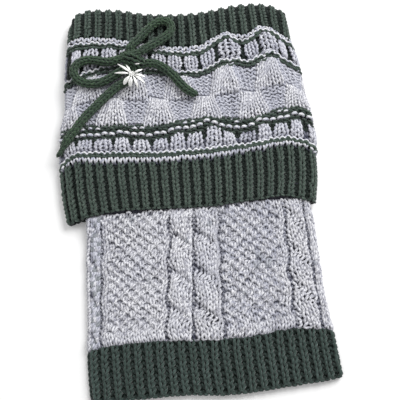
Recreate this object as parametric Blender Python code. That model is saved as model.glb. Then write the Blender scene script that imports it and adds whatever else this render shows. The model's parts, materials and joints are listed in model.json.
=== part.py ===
"""Hand-knitted calf warmer, laid flat with its patterned top turned down over the leg.

The part lies on its back on a flat surface: X runs across it, Y runs from the hem (-Y) to
the fold at the top (+Y), Z is up, and the origin is under the middle of its outline.
Tables and helpers work in millimetres and meshes are written in metres.
"""
import math
from collections import namedtuple

import bmesh
import bpy
import numpy as np

MM = 0.001

# The cloth: one chunky wall, and the small spaces between the layers that lie on each other.
WALL = 2.6
GAP = 0.3
SLIT = 0.6
SEAM = 0.3
FOLD_RADIUS = WALL + GAP / 2
LAYER_RISE = WALL + GAP
LEG_THICKNESS = 2 * WALL + SLIT
CROWN = 2 * LAYER_RISE + LEG_THICKNESS
MOUTH_DEPTH = 10.0
MOUTH_EASE = 1.8
CORE_SLIT_DEPTH = 12.0
CORE_EASE = 0.2
SHOULDER_RUN = 3.5

# Where each band of the cuff starts and ends, measured along the cloth from its cast-off edge.
CUFF_RIB_TOP = 34.5
LOWER_BAND_TOP = 65.0
BASKETWEAVE_TOP = 102.0
UPPER_BAND_TOP = 130.0
FOLD_START = 155.0
HEM_TOP = 38.0
LEG_TOP = 142.0

# Relief of the knitting above and below the middle of the wall's outer face.
RIB_PEAK = 1.0
RIB_VALLEY = -0.6
HEM_PEAK = 0.7
HEM_VALLEY = -0.5
RIDGE_HEIGHT = 1.3
RIDGE_HALF_WIDTH = 2.2
BOX_HEIGHT = 1.0
BOX_RECESS = -0.5
BLOCK_HEIGHT = 1.4
PATCH_RECESS = -0.2
CABLE_HEIGHT = 1.6
CABLE_GROOVE = 1.1
GUTTER_DEPTH = -0.9
MOSS_HEIGHT = 0.3
LEG_RELIEF_START_Y = -19.5
LEG_RELIEF_RAMP = 6.0

# Columns of each ring in a side fold and under the back, for the cuff and for the leg.
TURN_POINTS = 3
CUFF_BACK_POINTS = 8
LEG_BACK_POINTS = 8

# Places of the first columns beside a side fold, where the front rises to its crown, and the
# least distance of a box's column from the fold.
SHOULDER_SHARES = np.array([0.0, 0.012, 0.024, 0.038])
EDGE_SHARE = 0.004

# Columns of one rib: its foot and two shoulders, as shares of its width.
RIB_FOOT, RIB_FIRST_SHOULDER, RIB_SECOND_SHOULDER = 0.0, 0.32, 0.68

# Columns of one raised box, as shares of its width, and how far each stands up.
BoxColumn = namedtuple("BoxColumn", "place height")
BOX_COLUMNS = (
    BoxColumn(0.10, 0.0), BoxColumn(0.24, 1.0), BoxColumn(0.47, 1.0), BoxColumn(0.70, 1.0),
    BoxColumn(0.84, 0.0),
)

# The two bands of boxes: where each starts and ends along the cloth, its ridges, how many boxes
# there are and where the first one starts.
BoxBand = namedtuple("BoxBand", "bottom top lower_ridge upper_ridge boxes start")
LOWER_BAND = BoxBand(CUFF_RIB_TOP, LOWER_BAND_TOP, 42.6, 61.0, 14, 0.04)
UPPER_BAND = BoxBand(BASKETWEAVE_TOP, UPPER_BAND_TOP, 105.2, 124.6, 13, 0.55)

# Columns of one repeat of the basketweave, from the middle of a lower block.
BASKET_COLUMNS = (-0.28, -0.22, -0.13, -0.04, 0.04, 0.13, 0.22, 0.28, 0.36, 0.44, 0.53, 0.62)
BASKET_ROWS = (68.0, 74.4, 80.8, 84.0, 87.0, 92.8, 98.6)

# Rows of the top rib below the fold, and round the fold: the angle turned, and how much of the
# ribbing still shows there.
TOP_RIB_ROWS = (139.0, 147.5)
FoldRow = namedtuple("FoldRow", "angle relief")
FOLD_ROWS = (
    FoldRow(36.0, 1.0), FoldRow(72.0, 0.9), FoldRow(108.0, 0.5), FoldRow(144.0, 0.15),
    FoldRow(180.0, 0.0),
)

# Rows of the leg's layers inside the cuff, measured along the cuff that covers them.
CORE_ROWS = (0.0, 20.0, 40.0, 60.0, 82.5, 105.0, 124.0, FOLD_START)
CORE_FRONT_COLUMNS = 14

# Counts across the front, between the two side folds.
CUFF_RIBS = 23
TOP_RIBS = 20
HEM_RIBS = 22
BASKET_REPEATS = 5
BASKET_PHASE = 0.96
BASKET_KNIT_SHARE = 0.56
BLOCK_HALF_LENGTH = 9.4
LOWER_TIER_MIDDLE = 74.4
UPPER_TIER_MIDDLE = 92.8
TIER_CHANGE = 83.5
CABLE_PITCH = 26.6
CABLE_CROSSING_Y = -39.5
CABLE_SLANT = 0.18
CABLE_GROOVE_HALF_WIDTH = 0.17
LEG_ROW_PITCH = CABLE_PITCH / 6

# The knitted cord and the metal flower tied on with it.
CORD_DIAMETER = 7.1
CORD_POINT_SPACING = 5.6
CORD_SIDES_RESOLUTION = 2
KNOT_CENTRE = (-36.5, 101.5, 17.7)
KNOT_HALF_SIZE = (10.0, 7.6, 5.2)
KNOT_TURN = math.radians(-24.0)
KNOT_CLEARANCE = 0.4
KNOT_STRAIGHT = 2.2
FLOWER_CENTRE = (-37.1, 88.8, 21.1)
FLOWER_SLOPE = (-0.10, 0.12)
FLOWER_THICKNESS = 1.1
FLOWER_DOME = 1.3
FLOWER_WAIST = 2.6
FLOWER_EYE_RADIUS = 2.24
RING_CENTRE = (-32.2, 95.8, 23.3)
RING_RADIUS = 1.9
RING_WIRE_RADIUS = 0.45

# Positions across the front where each course's height is given: -1 and 1 are the side folds.
STATIONS = (-1.0, -0.93, -0.63, -0.25, 0.15, 0.41, 0.56, 0.76, 0.93, 1.0)

# One row for each course of the cuff: distance along the cloth, side folds, the hidden leg's
# edges inside it, thickness at the left fold, and the course's Y at each of the stations.
# At the right fold, which lies close round the leg, the cuff is as thick as at its crown.
Cuff = namedtuple("Cuff", "name along left right leg_left leg_right left_side y")
CUFF_SECTIONS = (
    Cuff("cast-off edge", 0.0, -94.5, 92.0, -80.5, 86.0, 7.8,
         (-18.5, -17.0, -12.5, -13.5, -15.0, -14.2, -13.5, -12.8, -18.0, -19.5)),
    Cuff("middle of rib", 18.5, -97.0, 95.5, -82.5, 87.5, 8.0,
         (-1.0, 3.0, 5.5, 4.5, 3.0, 4.0, 5.0, 5.5, 2.5, -1.0)),
    Cuff("light row", 36.0, -98.0, 96.8, -85.0, 88.5, 8.3,
         (21.0, 26.0, 24.8, 21.6, 21.3, 22.4, 23.8, 25.6, 21.5, 16.0)),
    Cuff("second ridge", 42.0, -98.0, 97.3, -86.0, 89.0, 8.6,
         (23.0, 30.0, 31.0, 27.6, 27.0, 27.8, 28.6, 30.2, 25.0, 19.5)),
    Cuff("first ridge", 60.0, -97.0, 98.0, -87.0, 90.0, 9.4,
         (47.0, 48.0, 47.6, 44.0, 47.0, 43.4, 43.6, 48.2, 47.5, 43.0)),
    Cuff("between tiers", 82.5, -92.5, 95.0, -86.0, 89.5, 10.3,
         (66.0, 70.0, 73.5, 69.5, 68.2, 69.8, 68.4, 73.0, 68.0, 62.5)),
    Cuff("lower top ridge", 105.0, -91.0, 93.5, -86.0, 89.0, 11.0,
         (88.0, 91.5, 100.0, 95.0, 90.0, 98.0, 94.2, 100.2, 88.5, 84.5)),
    Cuff("upper top ridge", 124.0, -87.8, 90.5, -84.0, 87.0, 11.5,
         (117.5, 119.5, 118.5, 110.5, 106.0, 116.4, 111.6, 119.2, 108.0, 103.5)),
    Cuff("foot of top rib", 130.0, -86.6, 89.6, -83.0, 86.5, 11.6,
         (123.5, 126.0, 124.4, 115.8, 112.0, 120.6, 117.4, 123.2, 113.0, 108.5)),
    Cuff("start of fold", 155.0, -84.5, 88.5, -81.6, 85.6, 11.6,
         (136.0, 144.3, 147.0, 140.2, 137.8, 140.2, 141.5, 140.6, 134.8, 127.0)),
)

# One row for each course of the leg: distance along the cloth from the hem's edge, side
# folds, underside, top, and the course's Y at each of the stations.
Leg = namedtuple("Leg", "name along left right low high y")
LEG_SECTIONS = (
    Leg("hem edge", 0.0, -86.0, 94.5, 0.0, 5.8,
        (-146.0, -147.0, -147.7, -148.2, -151.0, -150.0, -149.4, -148.2, -147.2, -146.5)),
    Leg("middle of hem", 19.0, -86.6, 93.4, 0.0, 5.8,
        (-130.5, -130.0, -129.0, -129.5, -131.8, -131.2, -130.0, -129.8, -130.4, -131.0)),
    Leg("top of hem", 38.0, -86.2, 92.2, 0.0, 5.8,
        (-112.5, -110.4, -108.8, -109.9, -112.2, -111.6, -109.8, -110.0, -112.0, -113.5)),
    Leg("low leg", 60.0, -84.2, 89.6, 0.0, 5.8,
        (-89.5, -88.5, -87.6, -88.0, -88.8, -88.6, -88.0, -88.0, -88.6, -89.5)),
    Leg("middle of leg", 88.0, -83.5, 89.0, 0.0, 5.8,
        (-60.0, -60.0, -60.0, -60.0, -60.0, -60.0, -60.0, -60.0, -60.0, -60.0)),
    Leg("high leg", 106.0, -82.2, 88.9, 0.0, 6.2,
        (-42.0, -42.0, -42.0, -42.0, -42.0, -42.0, -42.0, -42.0, -42.0, -42.0)),
    Leg("below cuff", 116.0, -81.2, 88.6, 0.0, 7.2,
        (-32.0, -32.0, -32.0, -32.0, -32.0, -32.0, -32.0, -32.0, -32.0, -32.0)),
    Leg("at cuff edge", 127.0, -80.6, 87.0, 2.9, 8.7,
        (-21.0, -21.0, -21.0, -21.0, -21.0, -21.0, -21.0, -21.0, -21.0, -21.0)),
    Leg("under cuff", 142.0, -80.3, 86.0, 2.9, 8.7,
        (-6.0, -6.0, -6.0, -6.0, -6.0, -6.0, -6.0, -6.0, -6.0, -6.0)),
)

# One row for each sunken column of the leg, from the left: X under the cuff and at the hem.
Gutter = namedtuple("Gutter", "name top bottom")
GUTTERS = (
    Gutter("left", -68.5, -75.8),
    Gutter("before first cable", -17.3, -27.8),
    Gutter("between cables", 0.4, -8.8),
    Gutter("after second cable", 18.2, 13.8),
    Gutter("before right cable", 66.8, 65.2),
    Gutter("right", 81.0, 84.5),
)
GUTTER_HALF_WIDTH = 1.7
GUTTER_TOP_Y = -12.0
GUTTER_BOTTOM_Y = -105.0

# What the columns between two gutters hold, from the left fold to the right one.
Panel = namedtuple("Panel", "kind columns")
LEG_PANELS = (
    Panel("cable", 3),
    Panel("moss", 6),
    Panel("cable", 6),
    Panel("cable", 6),
    Panel("moss", 6),
    Panel("cable", 6),
    Panel("plain", 2),
)

# Routes of the bow's cords: X, Y and height of the cord's middle.
LEFT_LOOP = (
    (-53.0, 101.6, 17.8), (-58.4, 102.8, 16.8), (-63.8, 104.6, 16.2), (-70.0, 105.6, 16.1),
    (-76.2, 104.4, 16.0), (-80.4, 101.0, 16.0), (-81.6, 96.6, 16.0), (-80.2, 92.0, 16.1),
    (-76.0, 88.0, 16.1), (-70.0, 86.2, 16.1), (-63.0, 86.0, 16.4), (-57.0, 87.4, 17.2),
    (-52.0, 89.4, 17.8), (-47.6, 91.8, 18.2),
)
RIGHT_LOOP = (
    (-34.4, 114.6, 18.2), (-29.6, 119.2, 17.0), (-23.4, 125.6, 16.1), (-17.2, 130.6, 16.0),
    (-11.4, 132.6, 16.0), (-6.4, 131.4, 16.0), (-4.0, 127.4, 16.0), (-5.2, 122.6, 16.1),
    (-10.0, 118.6, 16.6), (-15.8, 115.0, 17.6), (-21.4, 111.4, 18.8),
)
LEFT_TAIL = (
    (-38.2, 88.0, 16.1), (-42.4, 85.4, 16.1), (-47.4, 83.0, 16.1), (-54.4, 78.2, 16.1),
    (-62.6, 71.0, 16.1), (-71.0, 63.6, 16.1), (-77.6, 57.2, 16.1), (-82.6, 51.0, 16.0),
    (-87.4, 45.8, 15.6), (-91.4, 40.6, 14.8), (-95.0, 35.4, 13.2), (-98.4, 31.8, 11.6),
)
RIGHT_TAIL = (
    (-20.6, 98.2, 16.1), (-16.6, 96.6, 16.1), (-11.6, 92.8, 16.1), (-6.0, 86.8, 16.1),
    (-1.2, 80.0, 16.1), (3.8, 74.2, 16.1), (11.2, 68.8, 16.1),
)
# Directions in which each cord leaves the knot, as angles around it, and how far above the
# knot's middle it does so.
Exit = namedtuple("Exit", "angle rise")
KNOT_EXITS = {
    "left_loop_upper": Exit(180.0, 1.2),
    "left_loop_lower": Exit(228.0, 0.2),
    "right_loop_left": Exit(88.0, 0.6),
    "right_loop_right": Exit(40.0, 1.8),
    "left_tail": Exit(274.0, -1.7),
    "right_tail": Exit(348.0, -1.7),
}

# The flower's petals: direction, length and half width.
Petal = namedtuple("Petal", "angle length half_width")
PETALS = (
    Petal(24.1, 9.3, 1.25), Petal(114.5, 8.7, 1.1), Petal(135.6, 13.4, 1.3),
    Petal(169.3, 13.2, 1.3), Petal(222.6, 10.3, 1.8), Petal(255.4, 9.9, 1.9),
    Petal(296.1, 12.3, 1.4), Petal(327.5, 12.8, 1.35), Petal(350.3, 10.7, 1.4),
)

# The edge of a petal: how far along it, and how far to the side in half widths.
PetalEdge = namedtuple("PetalEdge", "reach side")
PETAL_EDGE = (
    PetalEdge(0.62, -1.0), PetalEdge(0.88, -0.8), PetalEdge(1.0, 0.0), PetalEdge(0.88, 0.8),
    PetalEdge(0.62, 1.0),
)

# Colours (linear), roughness and metallic value of each material.
Finish = namedtuple("Finish", "name colour roughness metallic")
GREEN_WOOL = Finish("green_wool", (0.040, 0.075, 0.055), 0.95, 0.0)
GREY_WOOL = Finish("grey_marl_wool", (0.42, 0.42, 0.47), 0.95, 0.0)
BAND_WOOL = Finish("grey_and_green_wool", (0.30, 0.32, 0.34), 0.95, 0.0)
CORD_WOOL = Finish("green_cord_wool", (0.036, 0.085, 0.038), 0.92, 0.0)
MATTE_SILVER = Finish("matte_silver", (0.86, 0.86, 0.84), 0.45, 1.0)


def clear_scene():
    for thing in list(bpy.data.objects):
        bpy.data.objects.remove(thing, do_unlink=True)


def material(finish):
    """One Principled material for each finish, made once and shared."""
    made = bpy.data.materials.get(finish.name)
    if made is None:
        made = bpy.data.materials.new(finish.name)
        made.use_nodes = True
        shader = made.node_tree.nodes["Principled BSDF"]
        shader.inputs["Base Color"].default_value = (*finish.colour, 1.0)
        shader.inputs["Roughness"].default_value = finish.roughness
        shader.inputs["Metallic"].default_value = finish.metallic
    return made


def smooth_through(xs, ys, x):
    """Cubic Hermite curve through the points (xs, ys), with finite-difference slopes."""
    xs = np.asarray(xs, float)
    ys = np.asarray(ys, float)
    x = np.clip(np.asarray(x, float), xs[0], xs[-1])
    steps = np.diff(xs)
    chords = np.diff(ys.T).T / steps.reshape((-1,) + (1,) * (ys.ndim - 1))
    slopes = np.concatenate([chords[:1], (chords[1:] + chords[:-1]) / 2, chords[-1:]])
    index = np.clip(np.searchsorted(xs, x, side="right") - 1, 0, len(steps) - 1)
    t = (x - xs[index]) / steps[index]
    h = steps[index]
    shape = t.shape + (1,) * (ys.ndim - 1)
    t = t.reshape(shape)
    h = h.reshape(shape)
    return ((2 * t**3 - 3 * t**2 + 1) * ys[index] + (t**3 - 2 * t**2 + t) * h * slopes[index]
            + (3 * t**2 - 2 * t**3) * ys[index + 1] + (t**3 - t**2) * h * slopes[index + 1])


def smoothstep(t):
    t = np.clip(t, 0.0, 1.0)
    return t * t * (3 - 2 * t)


def column(table, name, along):
    """A column of a section table, read smoothly at the given distances along the cloth."""
    return smooth_through([row.along for row in table], [getattr(row, name) for row in table], along)


def cuff_section(along, y_shift=0.0):
    """The cuff's flattened ring at each distance along the cloth, one row for each distance."""
    along = np.atleast_1d(np.asarray(along, float))
    section = {name: column(CUFF_SECTIONS, name, along)[:, None]
               for name in ("left", "right", "leg_left", "leg_right", "left_side")}
    section["right_side"] = np.full_like(section["left"], CROWN)
    section["low"] = np.zeros_like(section["left"])
    section["y"] = column(CUFF_SECTIONS, "y", along) + y_shift
    return section


def leg_section(along):
    along = np.atleast_1d(np.asarray(along, float))
    section = {name: column(LEG_SECTIONS, name, along)[:, None]
               for name in ("left", "right", "low", "high")}
    section["low"] = np.maximum(section["low"], 0.0)
    section["left_side"] = section["right_side"] = section["high"] - section["low"]
    section["y"] = column(LEG_SECTIONS, "y", along)
    return section


def ring_points(section, girth, inset=0.0, y_shift=0.0):
    """Points round a flattened tube, one row for each section and one column for each girth.

    Girth 0 to 1 runs over the front from left to right, 1 to 2 round the right fold, 2 to 3
    under the back and 3 to 4 round the left fold. The folds are half circles, and where a
    section has hidden leg edges the front rises from the folds to the crown beside them.
    """
    girth = np.broadcast_to(girth, (len(section["left"]), np.shape(girth)[-1]))
    inset = np.broadcast_to(np.asarray(inset, float).reshape(-1, 1), (len(girth), 1))
    left_fold = section["left_side"] / 2 - inset
    right_fold = section["right_side"] / 2 - inset
    start = section["left"] + inset + left_fold
    end = section["right"] - inset - right_fold
    share = np.clip(girth, 0, 1) - np.clip(girth - 2, 0, 1)
    right_turn = np.clip(girth - 1, 0, 1) * math.pi
    left_turn = np.clip(girth - 3, 0, 1) * math.pi
    x = (start + share * (end - start) + right_fold * np.sin(right_turn)
         - left_fold * np.sin(left_turn))
    turn = np.where(girth < 3, np.cos(right_turn), -np.cos(left_turn))
    fold = left_fold + share * (right_fold - left_fold)
    z = section["low"] + inset + fold * (1 + turn)
    if "leg_left" in section:
        rise_left = (x - start) / (section["leg_left"] + SHOULDER_RUN - start)
        rise_right = (end - x) / (end - section["leg_right"] + SHOULDER_RUN)
        lift = smoothstep(rise_left) * smoothstep(rise_right) * (CROWN - 2 * (fold + inset))
        z = z + np.where((girth > 0) & (girth < 1), lift, 0.0)
    across = (2 * x - section["left"] - section["right"]) / (section["right"] - section["left"])
    y = np.stack([smooth_through(STATIONS, heights, row)
                  for heights, row in zip(section["y"], across)])
    return np.stack([x, y + y_shift, z], axis=-1)


def outward(points):
    """Unit normals of a grid of rings, rows along the tube and columns round it."""
    around = np.roll(points, -1, axis=1) - np.roll(points, 1, axis=1)
    length = np.gradient(points, axis=0)
    normal = np.cross(length, around)
    return normal / np.linalg.norm(normal, axis=-1, keepdims=True)


def grid_faces(first, rows, columns):
    """Quads of a grid of rings whose vertices start at the index first."""
    index = first + np.arange(rows * columns).reshape(rows, columns)
    near = index[:-1]
    far = index[1:]
    return np.stack([near, np.roll(near, -1, axis=1), np.roll(far, -1, axis=1), far],
                    axis=-1).reshape(-1, 4)


def fan_faces(tip, first, count):
    """Triangles from one point to a closed ring of count vertices."""
    ring = first + np.arange(count)
    return np.stack([np.full(count, tip), ring, np.roll(ring, -1)], axis=-1)


def mesh_object(name, points, faces, finish):
    """A mesh object in metres, shaded smooth, with its faces turned outwards."""
    mesh = bpy.data.meshes.new(name)
    mesh.from_pydata((points * MM).tolist(), [], [list(face) for face in faces])
    body = bmesh.new()
    body.from_mesh(mesh)
    bmesh.ops.recalc_face_normals(body, faces=body.faces)
    if body.calc_volume(signed=True) < 0:
        bmesh.ops.reverse_faces(body, faces=body.faces)
    body.to_mesh(mesh)
    body.free()
    mesh.shade_smooth()
    mesh.materials.append(material(finish))
    made = bpy.data.objects.new(name, mesh)
    bpy.context.scene.collection.objects.link(made)
    return made


def wall_object(name, outside, inside, finish):
    """A closed wall from two grids of rings with the same columns, joined at both ends.

    The outside runs along the cloth and the inside runs back from the same far end.
    """
    columns = outside.shape[1]
    loop = np.concatenate([outside, inside, outside[:1]])
    points = loop[:-1].reshape(-1, 3)
    faces = grid_faces(0, len(loop), columns) % len(points)
    return mesh_object(name, points, faces, finish)


def girth_columns(front, back_points):
    """Front columns followed by those of the right fold, the flat back and the left fold."""
    turns = np.arange(1, TURN_POINTS + 1) / (TURN_POINTS + 1)
    back = np.arange(back_points + 2) / (back_points + 1)
    return np.concatenate([front, 1 + turns, 2 + back, 3 + turns])


def rib_columns(ribs):
    """Girth of each rib's foot and two shoulders, and which of the columns stand high."""
    shares = np.array([RIB_FOOT, RIB_FIRST_SHOULDER, RIB_SECOND_SHOULDER])
    starts = np.arange(ribs)[:, None] + shares
    front = np.append(starts.ravel() / ribs, 1.0)
    high = np.append(np.tile([0.0, 1.0, 1.0], ribs), 0.0)
    return front, high


def padded(front_relief, girth):
    """Relief for the front columns, and none for the columns of the folds and the back."""
    relief = np.zeros((len(front_relief), len(girth)))
    relief[:, :front_relief.shape[1]] = front_relief
    return relief


def ridge_relief(along, centres):
    """Rounded ridges across the cloth, one at each centre."""
    away = np.abs(np.asarray(along)[:, None] - np.asarray(centres)[None, :])
    return RIDGE_HEIGHT * np.cos(np.clip(away / RIDGE_HALF_WIDTH, 0, 1) * math.pi / 2).max(axis=1)


def cuff_wall(name, along, front, front_relief, finish):
    """A band of the cuff: relief on the outside of its front, plain inside."""
    girth = girth_columns(front, CUFF_BACK_POINTS)
    section = cuff_section(along)
    outside = ring_points(section, girth)
    outside = outside + outward(outside) * padded(front_relief, girth)[..., None]
    inside = ring_points(cuff_section([along[-1], along.mean(), along[0]]), girth, WALL)
    return wall_object(name, outside, inside, finish)


def build_cuff_rib():
    front, high = rib_columns(CUFF_RIBS)
    along = np.array([0.0, 9.0, 18.5, 28.0, CUFF_RIB_TOP - SEAM / 2])
    relief = np.tile(RIB_VALLEY + (RIB_PEAK - RIB_VALLEY) * high, (len(along), 1))
    cuff_wall("cuff_rib", along, front, relief, GREEN_WOOL)


def box_columns(boxes, start):
    """Girth of each raised box's two edges and two shoulders, and which columns stand high."""
    marks = np.array([mark.place for mark in BOX_COLUMNS])
    front = ((np.arange(-1, boxes + 1)[:, None] + marks + start) / boxes).ravel()
    high = np.tile([mark.height for mark in BOX_COLUMNS], boxes + 2)
    keep = (front > EDGE_SHARE) & (front < 1 - EDGE_SHARE)
    front = np.concatenate([[0.0], front[keep], [1.0]])
    high = np.concatenate([[0.0], high[keep], [0.0]])
    return front, high


def build_box_band(name, band):
    """A band with a ridge near each edge and a row of raised boxes between the ridges."""
    front, high = box_columns(band.boxes, band.start)
    ridges = np.array([band.lower_ridge, band.upper_ridge])
    lower, upper = ridges
    reach = RIDGE_HALF_WIDTH
    first = band.bottom + SEAM / 2
    last = band.top - SEAM / 2
    along = np.array([first, lower - reach, lower, lower + reach, (lower + upper) / 2,
                      upper - reach, upper, upper + reach, last])
    along = np.unique(np.clip(along, first, last))
    between = (along > lower + reach / 2) & (along < upper - reach / 2)
    boxes_relief = BOX_RECESS + (BOX_HEIGHT - BOX_RECESS) * high
    relief = np.where(between[:, None], boxes_relief, ridge_relief(along, ridges)[:, None])
    cuff_wall(name, along, front, relief, BAND_WOOL)


def build_basketweave():
    """Two tiers of raised knit blocks that alternate with sunken patches."""
    knit_half = BASKET_KNIT_SHARE / 2
    repeats = np.arange(-1, BASKET_REPEATS + 1)[:, None] + BASKET_PHASE
    front = ((repeats + np.array(BASKET_COLUMNS)) / BASKET_REPEATS).ravel()
    inner = front[(front > SHOULDER_SHARES[-1]) & (front < 1 - SHOULDER_SHARES[-1])]
    front = np.concatenate([SHOULDER_SHARES, inner, 1 - SHOULDER_SHARES[::-1]])
    along = np.array([LOWER_BAND_TOP + SEAM / 2, *BASKET_ROWS, BASKETWEAVE_TOP - SEAM / 2])
    place = front * BASKET_REPEATS - BASKET_PHASE
    tier = np.where(along[:, None] < TIER_CHANGE, 0.0, 0.5)
    away = np.abs((place[None, :] - tier + 0.5) % 1.0 - 0.5)
    across = np.sqrt(np.clip(1 - (away / (knit_half + 0.02))**4, 0, 1))
    middles = np.where(along < TIER_CHANGE, LOWER_TIER_MIDDLE, UPPER_TIER_MIDDLE)
    lengthwise = np.sqrt(np.clip(1 - ((along - middles) / BLOCK_HALF_LENGTH)**4, 0, 1))
    dome = across * lengthwise[:, None]
    relief = PATCH_RECESS + (BLOCK_HEIGHT - PATCH_RECESS) * dome
    cuff_wall("basketweave_band", along, front, relief, GREY_WOOL)


def build_top_rib():
    """The rib that runs over the fold: up the outside, over, and down into the mouth."""
    front, high = rib_columns(TOP_RIBS)
    girth = girth_columns(front, CUFF_BACK_POINTS)
    rise = cuff_section([UPPER_BAND_TOP + SEAM / 2, *TOP_RIB_ROWS, FOLD_START])
    fold = cuff_section([FOLD_START])
    rows = [ring_points(rise, girth)]
    for row in FOLD_ROWS:
        angle = math.radians(row.angle)
        inset = FOLD_RADIUS * (1 - math.cos(angle))
        rows.append(ring_points(fold, girth, inset, FOLD_RADIUS * math.sin(angle)))
    rows.append(ring_points(fold, girth, 2 * FOLD_RADIUS, -MOUTH_DEPTH))
    outside = np.concatenate(rows)
    rib = RIB_VALLEY + (RIB_PEAK - RIB_VALLEY) * high
    share = np.array([1.0] * len(rows[0]) + [row.relief for row in FOLD_ROWS] + [0.0])
    relief = padded(share[:, None] * rib[None, :], girth)
    outside = outside + outward(outside) * relief[..., None]
    inside = np.concatenate([
        ring_points(fold, girth, WALL + GAP, -MOUTH_DEPTH),
        ring_points(fold, girth, WALL + GAP),
        ring_points(fold, girth, WALL + GAP / 2, GAP / 2),
        ring_points(fold, girth, WALL),
        ring_points(rise, girth, WALL)[0:1],
    ])
    wall_object("top_rib", outside, inside, GREEN_WOOL)


def build_inner_leg():
    """The leg's two layers hidden inside the cuff, one rounded body split at its upper end."""
    side = np.linspace(0.0, 1.0, CORE_FRONT_COLUMNS)
    girth = girth_columns(side, len(side) - 2)
    cuff = cuff_section(CORE_ROWS)
    y = cuff["y"].copy()
    y[0] = LEG_SECTIONS[-1].y[0] + SEAM
    y[-1] = y[-1] - MOUTH_DEPTH - MOUTH_EASE
    thickness = np.full_like(cuff["left"], LEG_THICKNESS - CORE_EASE)
    section = {"left": cuff["leg_left"], "right": cuff["leg_right"], "y": y,
               "low": np.full_like(cuff["left"], LAYER_RISE),
               "left_side": thickness, "right_side": thickness}
    top = {name: values[-1:] for name, values in section.items()}
    rows = [ring_points(section, girth), ring_points(top, girth, WALL),
            ring_points(top, girth, WALL, -CORE_SLIT_DEPTH)]
    rings = np.concatenate(rows)
    columns = rings.shape[1]
    faces = [*grid_faces(0, len(rings), columns), *end_cap(0, columns, len(side)),
             *end_cap((len(rings) - 1) * columns, columns, len(side))]
    mesh_object("inner_leg", rings.reshape(-1, 3), faces, GREY_WOOL)


def end_cap(first, columns, front_count):
    """Faces that close a ring of a flat body, from its front columns to those under them."""
    left = first + columns - 2
    right = first + front_count + 1
    upper = [left + 1] + [first + number for number in range(front_count + 1)]
    lower = [left - 1 - number for number in range(front_count + 2)]
    quads = [(upper[k], upper[k + 1], lower[k + 1], lower[k]) for k in range(front_count + 1)]
    return [(left, upper[0], lower[0]), *quads, (upper[-1], right, lower[-1])]


def build_hem_rib():
    front, high = rib_columns(HEM_RIBS)
    girth = girth_columns(front, LEG_BACK_POINTS)
    along = np.array([0.0, 9.5, 19.0, 28.5, HEM_TOP - SEAM / 2])
    section = leg_section(along)
    outside = ring_points(section, girth)
    relief = np.tile(HEM_VALLEY + (HEM_PEAK - HEM_VALLEY) * high, (len(along), 1))
    outside = outside + outward(outside) * padded(relief, girth)[..., None]
    inside = ring_points(leg_section(along[::-2]), girth, WALL)
    wall_object("hem_rib", outside, inside, GREEN_WOOL)


def leg_front(section):
    """Girth of the leg's front columns in each row, with what each column belongs to.

    Every gutter has three columns that follow its slanting line, and the columns of each
    panel are spread evenly between the gutters. The second result holds, for each column,
    its panel's kind and its place across the panel from -1 to 1.
    """
    middle = section["y"][:, 4:5]
    fold = section["left_side"] / 2
    start = section["left"] + fold
    end = section["right"] - fold
    share = np.clip((GUTTER_TOP_Y - middle) / (GUTTER_TOP_Y - GUTTER_BOTTOM_Y), 0, 1)
    lines = [start]
    for gutter in GUTTERS:
        lines.append(gutter.top + (gutter.bottom - gutter.top) * share)
    lines.append(end)
    columns = []
    kinds = []
    for number, panel in enumerate(LEG_PANELS):
        near = lines[number] + (GUTTER_HALF_WIDTH if number > 0 else 0.0)
        far = lines[number + 1] - (GUTTER_HALF_WIDTH if number < len(GUTTERS) else 0.0)
        places = np.linspace(0, 1, panel.columns + 1)
        for place in places:
            columns.append(near + (far - near) * place)
            kinds.append((panel.kind, 2 * place - 1))
        if number < len(GUTTERS):
            columns.append(lines[number + 1])
            kinds.append(("gutter", 0.0))
    girth = (np.concatenate(columns, axis=1) - start) / (end - start)
    return girth, kinds


def leg_relief(kinds, middle_y):
    """Height of each leg column in each row: domed cables cut by slanting grooves."""
    relief = np.zeros((len(middle_y), len(kinds)))
    shown = smoothstep((LEG_RELIEF_START_Y - middle_y) / LEG_RELIEF_RAMP)
    for number, (kind, place) in enumerate(kinds):
        if kind == "gutter":
            relief[:, number] = GUTTER_DEPTH
        elif kind == "moss":
            relief[:, number] = MOSS_HEIGHT * (abs(place) < 1)
        elif kind == "cable":
            phase = (middle_y - CABLE_CROSSING_Y) / CABLE_PITCH + CABLE_SLANT * place
            away = np.abs((phase + 0.5) % 1 - 0.5) / CABLE_GROOVE_HALF_WIDTH
            groove = np.cos(np.clip(away, 0, 1) * math.pi / 2)
            dome = CABLE_HEIGHT * math.sqrt(max(0.0, 1 - place**4))
            relief[:, number] = dome - CABLE_GROOVE * groove * (1 - place**6)
    return relief * shown[:, None]


def build_leg_tube():
    """The grey leg from under the cuff's edge to the hem: cables, moss panels and gutters."""
    rows = int(round((LEG_TOP - HEM_TOP) / LEG_ROW_PITCH))
    along = np.linspace(HEM_TOP + SEAM / 2, LEG_TOP, rows + 1)
    section = leg_section(along)
    front, kinds = leg_front(section)
    rest = np.tile(girth_columns(np.array([]), LEG_BACK_POINTS), (len(along), 1))
    girth = np.concatenate([front, rest], axis=1)
    outside = ring_points(section, girth)
    relief = padded(leg_relief(kinds, section["y"][:, 4]), girth[0])
    outside = outside + outward(outside) * relief[..., None]
    pick = np.array([-1, -3, -5, -7, -12, 0])
    inner_section = {name: values[pick] for name, values in section.items()}
    inside = ring_points(inner_section, girth[pick], WALL)
    wall_object("leg_tube", outside, inside, GREY_WOOL)


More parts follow.
